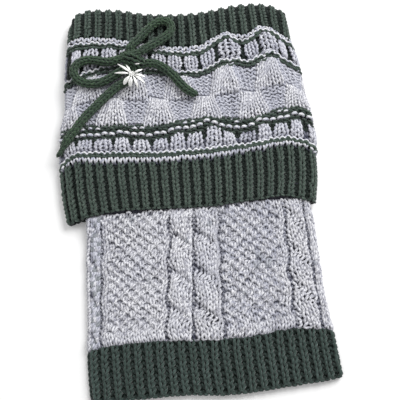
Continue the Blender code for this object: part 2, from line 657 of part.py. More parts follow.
def knot_exit(name):
    """Where a cord meets the knot, and a second point straight out from there."""
    leaving = KNOT_EXITS[name]
    angle = math.radians(leaving.angle) - KNOT_TURN
    a, b, _ = KNOT_HALF_SIZE
    local = np.array([a * math.cos(angle), b * math.sin(angle), leaving.rise])
    normal = np.array([math.cos(angle) / a, math.sin(angle) / b, 0.0])
    normal = normal / np.linalg.norm(normal)
    turn = np.array([[math.cos(KNOT_TURN), -math.sin(KNOT_TURN), 0.0],
                     [math.sin(KNOT_TURN), math.cos(KNOT_TURN), 0.0],
                     [0.0, 0.0, 1.0]])
    point = np.array(KNOT_CENTRE) + turn @ (local + normal * KNOT_CLEARANCE)
    return point, point + turn @ normal * KNOT_STRAIGHT


def even_route(route):
    """Evenly spaced points read from a smooth curve through the route's points."""
    route = np.asarray(route, float)
    chord = np.concatenate([[0.0], np.cumsum(np.linalg.norm(np.diff(route, axis=0), axis=1))])
    fine = np.linspace(0.0, chord[-1], 400)
    curve = smooth_through(chord, route, fine)
    length = np.concatenate([[0.0], np.cumsum(np.linalg.norm(np.diff(curve, axis=0), axis=1))])
    count = max(3, int(round(length[-1] / CORD_POINT_SPACING)) + 1)
    marks = np.linspace(0.0, length[-1], count)
    return np.stack([np.interp(marks, length, curve[:, axis]) for axis in range(3)], axis=-1)


def cord_object(name, route, start, end=None):
    """A round cord that leaves the knot at start, follows the route and may return at end."""
    first, first_out = knot_exit(start)
    points = [first_out, *route]
    if end is not None:
        last, last_out = knot_exit(end)
        points = [*points, last_out]
    points = np.concatenate([[first], even_route(points)])
    if end is not None:
        points = np.concatenate([points, [last]])
    curve = bpy.data.curves.new(name, "CURVE")
    curve.dimensions = "3D"
    curve.fill_mode = "FULL"
    curve.bevel_depth = CORD_DIAMETER / 2 * MM
    curve.bevel_resolution = CORD_SIDES_RESOLUTION
    curve.use_fill_caps = True
    spline = curve.splines.new("POLY")
    spline.points.add(len(points) - 1)
    flat = np.concatenate([points * MM, np.ones((len(points), 1))], axis=1)
    spline.points.foreach_set("co", flat.ravel())
    curve.materials.append(material(CORD_WOOL))
    made = bpy.data.objects.new(name, curve)
    bpy.context.scene.collection.objects.link(made)


def build_bow_cords():
    cord_object("bow_left_loop", LEFT_LOOP, "left_loop_upper", "left_loop_lower")
    cord_object("bow_right_loop", RIGHT_LOOP, "right_loop_left", "right_loop_right")
    cord_object("bow_left_tail", LEFT_TAIL, "left_tail")
    cord_object("bow_right_tail", RIGHT_TAIL, "right_tail")


def build_bow_knot():
    """The wrapped knot, a rounded lump that the cords run into."""
    rings, around = 9, 18
    polar = np.linspace(0, math.pi, rings + 1)[1:-1]
    turn = np.arange(around) / around * 2 * math.pi
    a, b, c = KNOT_HALF_SIZE
    x = a * np.sin(polar)[:, None] * np.cos(turn)
    y = b * np.sin(polar)[:, None] * np.sin(turn)
    z = np.tile(c * np.cos(polar)[:, None], (1, around))
    cos, sin = math.cos(KNOT_TURN), math.sin(KNOT_TURN)
    shell = np.stack([cos * x - sin * y, sin * x + cos * y, z], axis=-1).reshape(-1, 3)
    poles = np.array([[0.0, 0.0, c], [0.0, 0.0, -c]])
    points = np.concatenate([shell, poles]) + np.array(KNOT_CENTRE)
    faces = [*grid_faces(0, rings - 1, around), *fan_faces(len(shell), 0, around),
             *fan_faces(len(shell) + 1, (rings - 2) * around, around)]
    mesh_object("bow_knot", points, faces, CORD_WOOL)


def flower_plane(xy):
    """Height of the flower's tilted plane at points given from its centre."""
    return FLOWER_CENTRE[2] + xy[..., 0] * FLOWER_SLOPE[0] + xy[..., 1] * FLOWER_SLOPE[1]


def build_charm():
    """A flower of nine slim petals round a domed centre, cut as one plate."""
    outline = []
    petals = sorted(PETALS, key=lambda petal: petal.angle)
    for number, petal in enumerate(petals):
        following = petals[(number + 1) % len(petals)]
        direction = math.radians(petal.angle)
        ahead = np.array([math.cos(direction), math.sin(direction)])
        side = np.array([-ahead[1], ahead[0]])
        for edge in PETAL_EDGE:
            outline.append(ahead * petal.length * edge.reach + side * petal.half_width * edge.side)
        gap = math.radians((following.angle - petal.angle) % 360 / 2)
        waist = direction + gap
        outline.append(FLOWER_WAIST * np.array([math.cos(waist), math.sin(waist)]))
    rim = np.array(outline)
    count = len(rim)
    inner = rim * np.minimum(0.7, FLOWER_EYE_RADIUS / np.linalg.norm(rim, axis=1))[:, None]
    upper_rim = np.column_stack([rim, flower_plane(rim) + FLOWER_THICKNESS / 2])
    lower_rim = np.column_stack([rim, flower_plane(rim) - FLOWER_THICKNESS / 2])
    ring = np.column_stack([inner, flower_plane(inner) + FLOWER_THICKNESS / 2 + FLOWER_DOME * 0.7])
    middle = np.zeros((1, 2))
    top = np.column_stack([middle, flower_plane(middle) + FLOWER_THICKNESS / 2 + FLOWER_DOME])
    bottom = np.column_stack([middle, flower_plane(middle) - FLOWER_THICKNESS / 2])
    points = np.concatenate([ring, upper_rim, lower_rim, top, bottom])
    points = points + np.array([FLOWER_CENTRE[0], FLOWER_CENTRE[1], 0.0])
    faces = [*grid_faces(0, 3, count), *fan_faces(3 * count, 0, count),
             *fan_faces(3 * count + 1, 2 * count, count)]
    mesh_object("charm_flower", points, faces, MATTE_SILVER)


def build_charm_ring():
    """The small wire ring that ties the flower to the knot."""
    around, section = 16, 6
    turn = np.arange(around) / around * 2 * math.pi
    slice_ = np.arange(section) / section * 2 * math.pi
    reach = RING_RADIUS + RING_WIRE_RADIUS * np.cos(slice_)
    x = np.cos(turn)[:, None] * reach
    y = np.sin(turn)[:, None] * reach
    z = np.tile(RING_WIRE_RADIUS * np.sin(slice_), (around, 1))
    points = (np.stack([x, y, z], axis=-1) + np.array(RING_CENTRE)).reshape(-1, 3)
    index = np.arange(around * section).reshape(around, section)
    ahead = np.roll(index, -1, axis=0)
    faces = np.stack([index, ahead, np.roll(ahead, -1, axis=1), np.roll(index, -1, axis=1)],
                     axis=-1).reshape(-1, 4)
    mesh_object("charm_ring", points, faces, MATTE_SILVER)


def main():
    clear_scene()
    build_hem_rib()
    build_leg_tube()
    build_inner_leg()
    build_cuff_rib()
    build_box_band("lower_box_band", LOWER_BAND)
    build_basketweave()
    build_box_band("upper_box_band", UPPER_BAND)
    build_top_rib()
    build_bow_knot()
    build_bow_cords()
    build_charm()
    build_charm_ring()


main()
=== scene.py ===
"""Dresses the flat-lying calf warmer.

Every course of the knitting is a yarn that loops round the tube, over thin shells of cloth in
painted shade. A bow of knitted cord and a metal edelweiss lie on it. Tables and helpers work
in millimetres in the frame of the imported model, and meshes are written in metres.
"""
import json
import math
from collections import namedtuple

import bpy
import numpy as np
from bpy.props import FloatProperty, FloatVectorProperty, PointerProperty
from mathutils import Matrix

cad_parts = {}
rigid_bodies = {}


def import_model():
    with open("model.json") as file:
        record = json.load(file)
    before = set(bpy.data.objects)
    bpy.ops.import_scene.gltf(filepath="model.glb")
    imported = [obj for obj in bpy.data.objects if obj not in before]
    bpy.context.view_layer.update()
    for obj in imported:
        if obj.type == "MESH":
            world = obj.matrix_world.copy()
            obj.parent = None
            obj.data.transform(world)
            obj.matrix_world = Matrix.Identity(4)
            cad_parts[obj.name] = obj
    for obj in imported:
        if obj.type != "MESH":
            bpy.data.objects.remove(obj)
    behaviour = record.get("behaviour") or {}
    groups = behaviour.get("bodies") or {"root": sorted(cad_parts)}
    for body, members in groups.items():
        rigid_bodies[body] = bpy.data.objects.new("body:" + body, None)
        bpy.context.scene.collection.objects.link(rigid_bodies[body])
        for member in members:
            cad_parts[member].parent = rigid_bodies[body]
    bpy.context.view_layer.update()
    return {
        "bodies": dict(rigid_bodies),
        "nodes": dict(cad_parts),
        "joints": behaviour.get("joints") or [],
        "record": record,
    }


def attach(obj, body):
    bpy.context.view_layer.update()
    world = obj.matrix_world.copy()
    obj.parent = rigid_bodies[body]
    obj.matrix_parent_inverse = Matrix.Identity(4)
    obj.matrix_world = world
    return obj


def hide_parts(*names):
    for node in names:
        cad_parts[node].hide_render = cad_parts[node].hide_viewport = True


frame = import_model()

bl_info = {
    "name": "Knitted Calf Warmer",
    "version": (1, 0, 0),
    "blender": (4, 5, 0),
    "location": "3D View > Sidebar > Calf Warmer",
    "description": "Builds a hand-knitted calf warmer that lies flat with its cuff turned down",
    "category": "Add Mesh",
}

MM = 0.001

# The cloth: one chunky wall, the fold at its top, and the leg that ends below it.
WALL = 2.6
GAP = 0.3
FOLD_RADIUS = WALL + GAP / 2
CROWN = 11.6
SHOULDER_RUN = 3.5
FOLD_START = 155.0
FOLD_END = FOLD_START + math.pi * FOLD_RADIUS
MOUTH_END = FOLD_END + 10.0
LEG_TOP = 142.0
CORE_START_RUN = 20.0
CORE_SHORTENED = 12.0
CORE_START_SLOPE = 0.3
HEM_TOP = 38.0

# Half the steps over which the cloth's normals are measured, along it and in girth.
NORMAL_STEP = 0.3
NORMAL_TURN = 0.003

# Positions across the front where each course's height is given: -1 and 1 are the side folds.
STATIONS = (-1.0, -0.93, -0.63, -0.25, 0.15, 0.41, 0.56, 0.76, 0.93, 1.0)

# One row for each course of the cuff: distance along the cloth, side folds, the hidden leg's
# edges inside it, thickness at the left fold, and the course's Y at each of the stations.
Cuff = namedtuple("Cuff", "name along left right leg_left leg_right left_side y")
CUFF_SECTIONS = (
    Cuff("cast-off edge", 0.0, -94.5, 92.0, -80.5, 86.0, 7.8,
         (-18.5, -17.0, -12.5, -13.5, -15.0, -14.2, -13.5, -12.8, -18.0, -19.5)),
    Cuff("middle of rib", 18.5, -97.0, 95.5, -82.5, 87.5, 8.0,
         (-1.0, 3.0, 5.5, 4.5, 3.0, 4.0, 5.0, 5.5, 2.5, -1.0)),
    Cuff("light row", 36.0, -98.0, 96.8, -85.0, 88.5, 8.3,
         (21.0, 26.0, 24.8, 21.6, 21.3, 22.4, 23.8, 25.6, 21.5, 16.0)),
    Cuff("second ridge", 42.0, -98.0, 97.3, -86.0, 89.0, 8.6,
         (23.0, 30.0, 31.0, 27.6, 27.0, 27.8, 28.6, 30.2, 25.0, 19.5)),
    Cuff("first ridge", 60.0, -97.0, 98.0, -87.0, 90.0, 9.4,
         (47.0, 48.0, 47.6, 44.0, 47.0, 43.4, 43.6, 48.2, 47.5, 43.0)),
    Cuff("between tiers", 82.5, -92.5, 95.0, -86.0, 89.5, 10.3,
         (66.0, 70.0, 73.5, 69.5, 68.2, 69.8, 68.4, 73.0, 68.0, 62.5)),
    Cuff("lower top ridge", 105.0, -91.0, 93.5, -86.0, 89.0, 11.0,
         (88.0, 91.5, 100.0, 95.0, 90.0, 98.0, 94.2, 100.2, 88.5, 84.5)),
    Cuff("upper top ridge", 124.0, -87.8, 90.5, -84.0, 87.0, 11.5,
         (117.5, 119.5, 118.5, 110.5, 106.0, 116.4, 111.6, 119.2, 108.0, 103.5)),
    Cuff("foot of top rib", 130.0, -86.6, 89.6, -83.0, 86.5, 11.6,
         (123.5, 126.0, 124.4, 115.8, 112.0, 120.6, 117.4, 123.2, 113.0, 108.5)),
    Cuff("start of fold", 155.0, -84.5, 88.5, -81.6, 85.6, 11.6,
         (136.0, 144.3, 147.0, 140.2, 137.8, 140.2, 141.5, 140.6, 134.8, 127.0)),
)

# One row for each course of the leg: distance along the cloth from the hem's edge, side
# folds, underside, top, and the course's Y at each of the stations.
Leg = namedtuple("Leg", "name along left right low high y")


def level(y):
    """The same Y at every station."""
    return (y,) * len(STATIONS)


LEG_SECTIONS = (
    Leg("hem edge", 0.0, -86.0, 94.5, 0.0, 5.8,
        (-146.0, -147.0, -147.7, -148.2, -151.0, -150.0, -149.4, -148.2, -147.2, -146.5)),
    Leg("middle of hem", 19.0, -86.6, 93.4, 0.0, 5.8,
        (-130.5, -130.0, -129.0, -129.5, -131.8, -131.2, -130.0, -129.8, -130.4, -131.0)),
    Leg("top of hem", 38.0, -86.2, 92.2, 0.0, 5.8,
        (-112.5, -110.4, -108.8, -109.9, -112.2, -111.6, -109.8, -110.0, -112.0, -113.5)),
    Leg("low leg", 60.0, -84.2, 89.6, 0.0, 5.8,
        (-89.5, -88.5, -87.6, -88.0, -88.8, -88.6, -88.0, -88.0, -88.6, -89.5)),
    Leg("middle of leg", 88.0, -83.5, 89.0, 0.0, 5.8, level(-60.0)),
    Leg("high leg", 106.0, -82.2, 88.9, 0.0, 6.2, level(-42.0)),
    Leg("below cuff", 116.0, -81.2, 88.6, 0.0, 7.2, level(-32.0)),
    Leg("at cuff edge", 127.0, -80.6, 87.0, 2.9, 8.7, level(-21.0)),
    Leg("under cuff", 142.0, -80.3, 86.0, 2.9, 8.7, level(-6.0)),
)

# One row for each sunken column of the leg, from the left: its wale, X under the cuff and at the
# hem, how far it sways to the right at a cable's crossing, and the Y of that crossing.
Gutter = namedtuple("Gutter", "name wale top bottom sway crossing_y")
GUTTERS = (
    Gutter("left", 3, -68.5, -75.8, -0.7, -52.0),
    Gutter("before first cable", 16, -17.3, -27.8, 1.1, -39.5),
    Gutter("between cables", 21, 0.4, -8.8, -0.5, -39.5),
    Gutter("after second cable", 26, 18.2, 13.8, -1.1, -39.5),
    Gutter("before right cable", 39, 66.8, 65.2, 1.1, -29.7),
    Gutter("right", 43, 81.0, 84.5, -0.6, -29.7),
)
GUTTER_HALF_WIDTH = 1.15
GUTTER_TOP_Y = -12.0
GUTTER_BOTTOM_Y = -105.0
GUTTER_DEPTH = 1.45
GUTTER_REACH = 0.7
LEG_PLAIN_ROWS = 2
LEG_SHOWN_Y = -17.0
LEG_SHOWN_RUN = 6.0
EDGE_SUNK = 1.5
CHAINS = (4, 15, 38, 44)
# Wales of the leg's left strip, whose yarn is painted darker and cooler as shade.
LEFT_STRIP = 3

# One row for each cable of the leg: its first wale, how many it has, the Y of one crossing and
# how deep its grooves are cut.
Cable = namedtuple("Cable", "name first wales crossing_y groove")
CABLES = (
    Cable("left", 0, 3, -52.0, 1.7),
    Cable("first", 17, 4, -39.5, 2.4),
    Cable("second", 22, 4, -39.5, 2.6),
    Cable("right", 40, 3, -29.7, 1.5),
)
CABLE_PITCH = 26.6
CABLE_HEIGHT = 1.4
CABLE_GROOVE_HALF_WIDTH = 0.12
CABLE_SLANT = 0.24
CABLE_SWING = 1.0
CABLE_JUMP = 0.76
GROOVE_MIDDLE = 0.85
GROOVE_TILT = 0.3
GROOVE_MOST = 1.2

# Wales, the columns of stitches, on the front, round the right fold, on the back and round
# the left fold.
Wales = namedtuple("Wales", "front right back left")

# One row for each kind of course: where it runs along the cloth, half the height of its loops,
# which stitches it has, which yarn, how far it stands out and how thick its yarn is.
Course = namedtuple("Course", "along reach stitch shade lift radius")
# Values of the yarn's shade attribute, from green through grey marl to white. Of these, 0.25 is
# painted shade, and 0.42 is cool yarn in some stitches and painted shade in others.
GREEN, FLECK, SHADED_DARK, COOL_OR_SHADED, MIST, GREY, WHITE = 0.0, 0.28, 0.25, 0.42, 0.455, 0.5, 1.0

# Wale and course of the leg's few stitches with a stray dark fibre.
FLECKS = ((33, 13), (34, 14), (35, 13), (32, 15), (33, 15), (24, 22), (19, 19), (9, 24), (30, 7),
          (12, 11), (44, 12))


def rib_courses(first, pitch, count, reach, radius):
    """Evenly spaced courses of the green 1x1 rib."""
    return tuple(Course(first + pitch * row, reach, "rib", GREEN, 0.0, radius)
                 for row in range(count))


CUFF_RIB_COURSES = (Course(0.2, 0.9, "purl", GREEN, -0.2, 1.0),
                    *rib_courses(2.2, 3.4, 10, 2.75, 1.05))
TOP_RIB_COURSES = rib_courses(132.0, 3.4, 12, 2.75, 1.05)
HEM_COURSES = (Course(0.2, 0.9, "purl", GREEN, -0.3, 1.0),
               *rib_courses(2.8, 4.4, 8, 3.1, 1.15))
LOWER_COURSES = (
    Course(37.9, 3.0, "vees", WHITE, 0.7, 1.0),
    Course(41.0, 1.0, "purl", GREEN, 1.1, 1.25),
    Course(43.0, 0.6, "line", WHITE, 1.6, 0.9),
    Course(45.6, 1.9, "feet", MIST, -0.7, 1.05),
    Course(47.9, 2.1, "feet", MIST, 0.1, 1.15),
    Course(50.3, 2.2, "boxes", MIST, 0.2, 1.15),
    Course(52.6, 2.0, "boxes", MIST, -0.3, 1.05),
    Course(55.2, 1.2, "purl", GREEN, -0.2, 1.05),
    Course(57.8, 0.45, "dashes", WHITE, 1.0, 1.15),
    Course(60.4, 1.1, "purl", GREEN, -0.2, 1.05),
    Course(62.5, 0.4, "dots", GREEN, 0.4, 0.85),
    Course(64.1, 0.9, "purl", GREEN, 0.1, 1.0),
)
UPPER_COURSES = (
    Course(103.6, 1.4, "purl", GREEN, 0.8, 1.05),
    Course(106.0, 0.6, "line", WHITE, 1.4, 0.85),
    Course(108.6, 1.7, "boxes", MIST, -0.7, 1.0),
    Course(110.9, 2.4, "boxes", MIST, 0.0, 1.05),
    Course(113.8, 2.4, "boxes", MIST, 0.1, 1.05),
    Course(116.7, 2.4, "boxes", MIST, 0.1, 1.05),
    Course(119.5, 2.2, "boxes", MIST, -0.4, 1.05),
    Course(122.5, 1.3, "purl", GREEN, 0.7, 1.05),
    Course(124.7, 0.6, "line", WHITE, 1.4, 0.85),
    Course(128.0, 2.3, "peaks", WHITE, 0.4, 0.95),
)
BASKET_COURSES = tuple(Course(66.5 + 2.615 * row, 2.1, "basket", GREY, 0.0, 0.95)
                       for row in range(14))
LEG_COURSES = tuple(Course(39.8 + 3.6 * row, 2.85, "leg", GREY, 0.0, 1.08)
                    for row in range(26))

# Relief of the knitting, in millimetres.
RIB_SWING = {"rib": 1.8, "hem": 1.25}
RIB_SPREAD = 0.1
RIB_BULGE = 1.25
RIB_SKEW = 0.55
BLOCK_SWING = 0.9
BLOCK_DOME = 1.7
BLOCK_HALF = 0.18
BLOCK_EDGE = 0.18
PATCH_SUNK = 0.5
BOX_SWING = 1.0
BOX_HALF = 0.22
BOX_EDGE = 0.2
BOX_FLAT = 0.02
BOX_FADE = 3.0
BOX_BLEND = 2.0
BELOW_FEET = 1.5
ABOVE_TOPS = 1.0
GAP_SUNK = 2.8
GAP_POWER = 1.6
BOX_FAN = 0.9
TALL_BOX_FAN = 1.2
BOX_RISE = 4.4
RISE_KEPT = 3.5
RISE_FADE = 7.5
PLAIN_ROW_LIFT = 0.4
DASH_COUNT = 71
DOT_START = 3
DOT_REPEAT = 8.35
DOT_WIDTH = 2.6
BASKET_FOOT = 65.0
BASKET_TOP = 102.0
BASKET_REPEAT = 9
BASKET_BLOCK = 5
BASKET_START = 6
BASKET_TIER = 7
BASKET_SPREAD = 0.55
BASKET_SLANT = 1.3
SLANT_START = 80.0
SLANT_END = 101.0
TIER_SEAM = 83.5
LOWER_TIER_MIDDLE = 74.2
UPPER_TIER_MIDDLE = 92.9
TIER_HALF_HEIGHT = 10.5
BOX_REPEAT = 3
# Boxes whose lift is below this are painted in cooler yarn as shade.
SHADED_BOX_LIFT = -0.3

# One row for each box band: X of the ends of the front, where the boxes' feet and tops are along
# the cloth, a gap's least share of its half width and what it gains, X and half width of each
# dark gap, and how far each box stands out.
BoxBand = namedtuple("BoxBand", "first last foot top least growth gaps lifts")
BOXES = {
    "lower": BoxBand(-93.0, 91.8, 45.0, 54.0, 0.15, 1.35, (
        (-83.6, 1.1), (-70.7, 0.9), (-55.6, 1.2), (-42.3, 1.8), (-26.9, 1.7), (-13.6, 1.2),
        (-0.8, 1.3), (13.3, 1.6), (26.9, 0.8), (37.9, 2.6), (53.2, 0.9), (64.7, 1.9),
        (78.0, 1.2), (88.4, 1.1),
    ), (-0.3, -0.1, 0.1, 0.6, 0.0, -0.45, 0.7, 0.0, 1.0, 0.1, -1.3, 1.0, -0.1, 0.5)),
    "upper": BoxBand(-83.0, 85.5, 108.0, 121.5, 0.4, 1.1, (
        (-75.0, 1.2), (-61.0, 1.3), (-47.0, 1.3), (-35.0, 1.3), (-23.0, 1.3), (-10.0, 1.0),
        (2.5, 1.1), (15.0, 1.5), (28.8, 1.7), (49.5, 1.8), (62.2, 1.0), (77.6, 0.9),
        (83.0, 0.9),
    ), (0.0, 0.0, 0.2, 0.0, 0.0, 0.0, 0.2, 0.4, -0.4, 0.9, -0.4, 0.9, 0.1)),
}

# How a stitch loops, in wales and millimetres, and how deep the yarn lies on front and back.
LEAN = 0.21
STITCH_LEANS = {"line": 0.03, "vees": 0.27, "peaks": -0.06}
POINT_SUNK = 1.8
BEAD_LIFT = 1.8
BEAD_DROP = 5.6
BEAD_POWER = 0.52
LINE_DEPTH = 0.25
BULGE = 0.9
PATCH_BULGE = 0.75
BACK_BULGE = 0.3
FRONT_SUNK = 0.9
RIB_SUNK = 1.7
BACK_SUNK = 1.45
FOLD_SUNK = 0.9
FOLD_TURNED = 0.8
FOLD_BLEND = 6.0
FOLD_FLATTENED = 0.75

# How far stitches vary, in wales, along, outwards and as a share of their reach, how far whole
# wales vary along, and the share of a stitch over which it turns from knit to purl.
WOBBLE = (0.05, 0.18, 0.12, 0.07)
LEG_WOBBLE = (0.08, 0.36, 0.30, 0.10)
WALE_WOBBLE = 0.12
TURN = 0.15

# The thin shells of cloth under the yarn, in painted shade, and the yarn's mesh.
SHELL_OUTSIDE = 2.05
SHELL_INSIDE = 2.5
SHELL_STEP = 4
SHELL_COLUMNS = (60, 8, 40, 8)
SIDES = 6
FRONT_DETAIL = 10
BACK_DETAIL = 6
STRIP_MARGIN = 0.06

# Routes of the bow's cords: X, Y and height of the cord's middle.
LEFT_LOOP = (
    (-53.0, 101.6, 17.8), (-58.4, 102.8, 16.8), (-63.8, 104.6, 16.2), (-70.0, 105.6, 16.1),
    (-76.2, 104.4, 16.0), (-80.4, 101.0, 16.0), (-81.6, 96.6, 16.0), (-80.2, 92.0, 16.1),
    (-76.0, 88.0, 16.1), (-70.0, 86.2, 16.1), (-63.0, 86.0, 16.4), (-57.0, 87.4, 17.2),
    (-52.0, 89.4, 17.8), (-47.6, 91.8, 18.2),
)
RIGHT_LOOP = (
    (-34.4, 114.6, 18.2), (-29.6, 119.2, 17.0), (-23.4, 125.6, 16.1), (-17.2, 130.6, 16.0),
    (-11.4, 132.6, 16.0), (-6.4, 131.4, 16.0), (-4.0, 127.4, 16.0), (-5.2, 122.6, 16.1),
    (-10.0, 118.6, 16.6), (-15.8, 115.0, 17.6), (-21.4, 111.4, 18.8),
)
LEFT_TAIL = (
    (-38.2, 88.0, 16.1), (-42.4, 85.4, 16.1), (-47.4, 83.0, 16.1), (-54.4, 78.2, 16.1),
    (-62.6, 71.0, 16.1), (-71.0, 63.6, 16.1), (-77.6, 57.2, 16.1), (-82.6, 51.0, 16.0),
    (-87.4, 45.8, 15.6), (-91.4, 40.6, 14.8), (-95.0, 35.4, 13.2), (-98.4, 31.8, 11.6),
)
RIGHT_TAIL = (
    (-20.6, 98.2, 16.1), (-16.6, 96.6, 16.1), (-11.6, 92.8, 16.1), (-6.0, 86.8, 16.1),
    (-1.2, 80.0, 16.1), (3.8, 74.2, 16.1), (11.2, 68.8, 16.1),
)
Exit = namedtuple("Exit", "angle rise")
KNOT_EXITS = {
    "left_loop_upper": Exit(180.0, 1.2),
    "left_loop_lower": Exit(228.0, 0.2),
    "right_loop_left": Exit(88.0, 0.6),
    "right_loop_right": Exit(40.0, 1.8),
    "left_tail": Exit(274.0, -1.7),
    "right_tail": Exit(348.0, -1.7),
}
CORD_CORE_RADIUS = 2.55
CORD_YARN_REACH = 2.1
CORD_YARN_RADIUS = 0.92
CORD_LOOP_REACH = 2.55
CORD_BULGE = 0.72
CORD_WALES = 4
CORD_COURSE = 3.5
CORD_WOBBLE = 0.05
# Depths of the cord's yarn at which it is painted in full shade and in none.
CORD_PAINTED_SHADE_RANGE = (-0.7, 1.3)
ROUTE_STEP = 1.5
ROUTE_POINTS = 600

# A cord's free end, in shares of its length: where it narrows, how much, and its round tip.
CordEnd = namedtuple("CordEnd", "length narrow tip")

KNOT_CENTRE = (-36.5, 101.5, 17.7)
KNOT_HALF_SIZE = (10.0, 7.6, 5.2)
KNOT_TURN = math.radians(-24.0)
KNOT_CLEARANCE = 0.4
KNOT_STRAIGHT = 2.2
KNOT_CORE_SHORTENED = 0.4
KNOT_CORE_END = 0.3
KNOT_CORE_INSET = 0.9
WRAP_SHORTENED = 2.4
WRAP_HEIGHT = 2.2
WRAP_DROP = 3.2
WRAP_SCALE = 1.6
CORD_SEED = 30
WRAP_SEED = 41
STRAND_SEED = 50

# The flower's petals: direction, length, half width, and how far the tip bends to the left.
Petal = namedtuple("Petal", "angle length half_width bend")
PETALS = (
    Petal(24.1, 9.3, 0.85, -0.5), Petal(114.5, 8.7, 0.9, 0.3), Petal(135.6, 13.4, 1.0, 1.1),
    Petal(169.3, 13.2, 0.95, 1.0), Petal(222.6, 10.3, 1.6, 1.0), Petal(255.4, 9.9, 1.65, 0.4),
    Petal(296.1, 12.3, 1.15, -1.6), Petal(327.5, 12.8, 0.95, -1.6),
    Petal(350.3, 10.7, 0.95, -0.9),
)
FLOWER_CENTRE = (-37.1, 88.8, 21.1)
FLOWER_SLOPE = (-0.10, 0.12)
PETAL_START = 0.8
PETAL_THICKNESS = 0.62
PETAL_GROOVE = 0.28
PETAL_GROOVE_HALF_WIDTH = 0.32
PETAL_ARCH = 0.9
PETAL_DROOP = 0.6
DOME_COUNT = 7
DOME_RADIUS = 0.78
DOMES_FROM_MIDDLE = 1.55
DOMES_HEIGHT = 0.9
RING_CENTRE = (-32.2, 95.8, 23.3)
RING_RADIUS = 1.9
RING_WIRE_RADIUS = 0.28
RING_TILT = math.radians(-58.0)
RING_STEPS = 40
RING_SIDES = 10

# The camera: where it stands, and its right, up and viewing directions.
CAMERA_PLACE = (-4.47, -111.8, 486.9)
CAMERA_RIGHT = (0.9954, -0.0958, 0.0)
CAMERA_UP = (0.0938, 0.9737, 0.2079)
CAMERA_AHEAD = (0.0199, 0.2070, -0.9782)
CAMERA_LENS = 59.0
SENSOR_WIDTH = 36.0
NEAR_CLIP = 0.01

# The table and the lamps: name, place, size and power.
TABLE_HALF = 3.0
TABLE_Z = -0.0002
LAMPS = (("window light", (0.65, 0.60, 0.90), 0.8, 14.5),
         ("fill light", (-0.70, 0.50, 1.10), 1.2, 2.8))
ROOM_LIGHT = 0.5


# Surfaces of the cloth

def smoothstep(t):
    """Zero below 0, one above 1, and 3t^2 - 2t^3 between."""
    t = np.clip(t, 0.0, 1.0)
    return t * t * (3 - 2 * t)


def unit(vectors):
    """The vectors, each divided by its length."""
    return vectors / np.maximum(np.linalg.norm(vectors, axis=-1, keepdims=True), 1e-9)


def pick(table, number):
    """Values at numbers along a table's last axis; it has one row, or one for each number."""
    table = np.broadcast_to(table, (*number.shape, table.shape[-1]))
    return np.take_along_axis(table, number[..., None], -1)[..., 0]


def bracket(knots, place):
    """Which span between the knots a place lies in, and its share of that span."""
    index = np.clip(np.searchsorted(knots, place, side="right") - 1, 0, len(knots) - 2)
    return index, (place - knots[index]) / (knots[index + 1] - knots[index])


def hermite(knots, values, place):
    """Cubic Hermite curve through values at the knots; each slope is the mean of two chords."""
    knots = np.asarray(knots, float)
    values = np.asarray(values, float)
    steps = np.diff(knots)
    chords = np.diff(values, axis=-1) / steps
    slopes = np.concatenate([chords[..., :1], (chords[..., 1:] + chords[..., :-1]) / 2,
                             chords[..., -1:]], axis=-1)
    index, t = bracket(knots, np.clip(place, knots[0], knots[-1]))
    h = steps[index]
    return ((2 * t**3 - 3 * t**2 + 1) * pick(values, index)
            + (t**3 - 2 * t**2 + t) * h * pick(slopes, index)
            + (3 * t**2 - 2 * t**3) * pick(values, index + 1)
            + (t**3 - t**2) * h * pick(slopes, index + 1))


def between_lines(knots, lines, place):
    """Where a place lies across the front, evenly spread between lines that stand at knots."""
    index, t = bracket(np.array(knots, float), place)
    lines = np.stack(np.broadcast_arrays(*lines), axis=-1)
    near_line = pick(lines, index)
    return near_line + (pick(lines, index + 1) - near_line) * t


def column(table, name, along):
    """One column of a table of sections, read smoothly along the cloth."""
    return hermite([row.along for row in table], [getattr(row, name) for row in table], along)


def station_heights(table, along):
    """Y of the course there at each of the stations."""
    rows = [row.along for row in table]
    return np.stack([hermite(rows, heights, along)
                     for heights in zip(*(row.y for row in table))], axis=-1)


def flat_tube(table, along, girth, inset, shift):
    """Points round a flattened tube whose sections come from a table.

    Girth 0 to 1 runs over the front from left to right, 1 to 2 round the right fold, 2 to 3
    under the back and 3 to 4 round the left fold. The folds are half circles: X goes with the
    sine and Z with one plus the cosine of the angle turned. The front rises by a smooth step
    from the folds to the crown beside the hidden leg's edges, and Y is read from the stations.
    """
    near = np.clip(along, table[0].along, table[-1].along)
    left, right = column(table, "left", near), column(table, "right", near)
    girth = np.mod(girth, 4.0)
    if table is CUFF_SECTIONS:
        low, left_side, right_side = 0.0, column(table, "left_side", near), CROWN
    else:
        low = np.maximum(column(table, "low", near), 0.0)
        left_side = right_side = column(table, "high", near) - low
    left_fold = left_side / 2 - inset
    right_fold = right_side / 2 - inset
    start = left + inset + left_fold
    end = right - inset - right_fold
    share = np.clip(girth, 0, 1) - np.clip(girth - 2, 0, 1)
    right_turn = np.clip(girth - 1, 0, 1) * math.pi
    left_turn = np.clip(girth - 3, 0, 1) * math.pi
    x = (start + share * (end - start) + right_fold * np.sin(right_turn)
         - left_fold * np.sin(left_turn))
    turn = np.where(girth < 3, np.cos(right_turn), -np.cos(left_turn))
    fold = left_fold + share * (right_fold - left_fold)
    z = low + inset + fold * (1 + turn)
    if table is CUFF_SECTIONS:
        rise_left = (x - start) / (column(table, "leg_left", near) + SHOULDER_RUN - start)
        rise_right = (end - x) / (end - column(table, "leg_right", near) + SHOULDER_RUN)
        lift = smoothstep(rise_left) * smoothstep(rise_right) * (CROWN - 2 * (fold + inset))
        z = z + np.where(girth < 1, lift, 0.0)
    across = (2 * x - left - right) / (right - left)
    y = hermite(STATIONS, station_heights(table, near), across) + shift
    return np.stack([x, y, z], axis=-1)


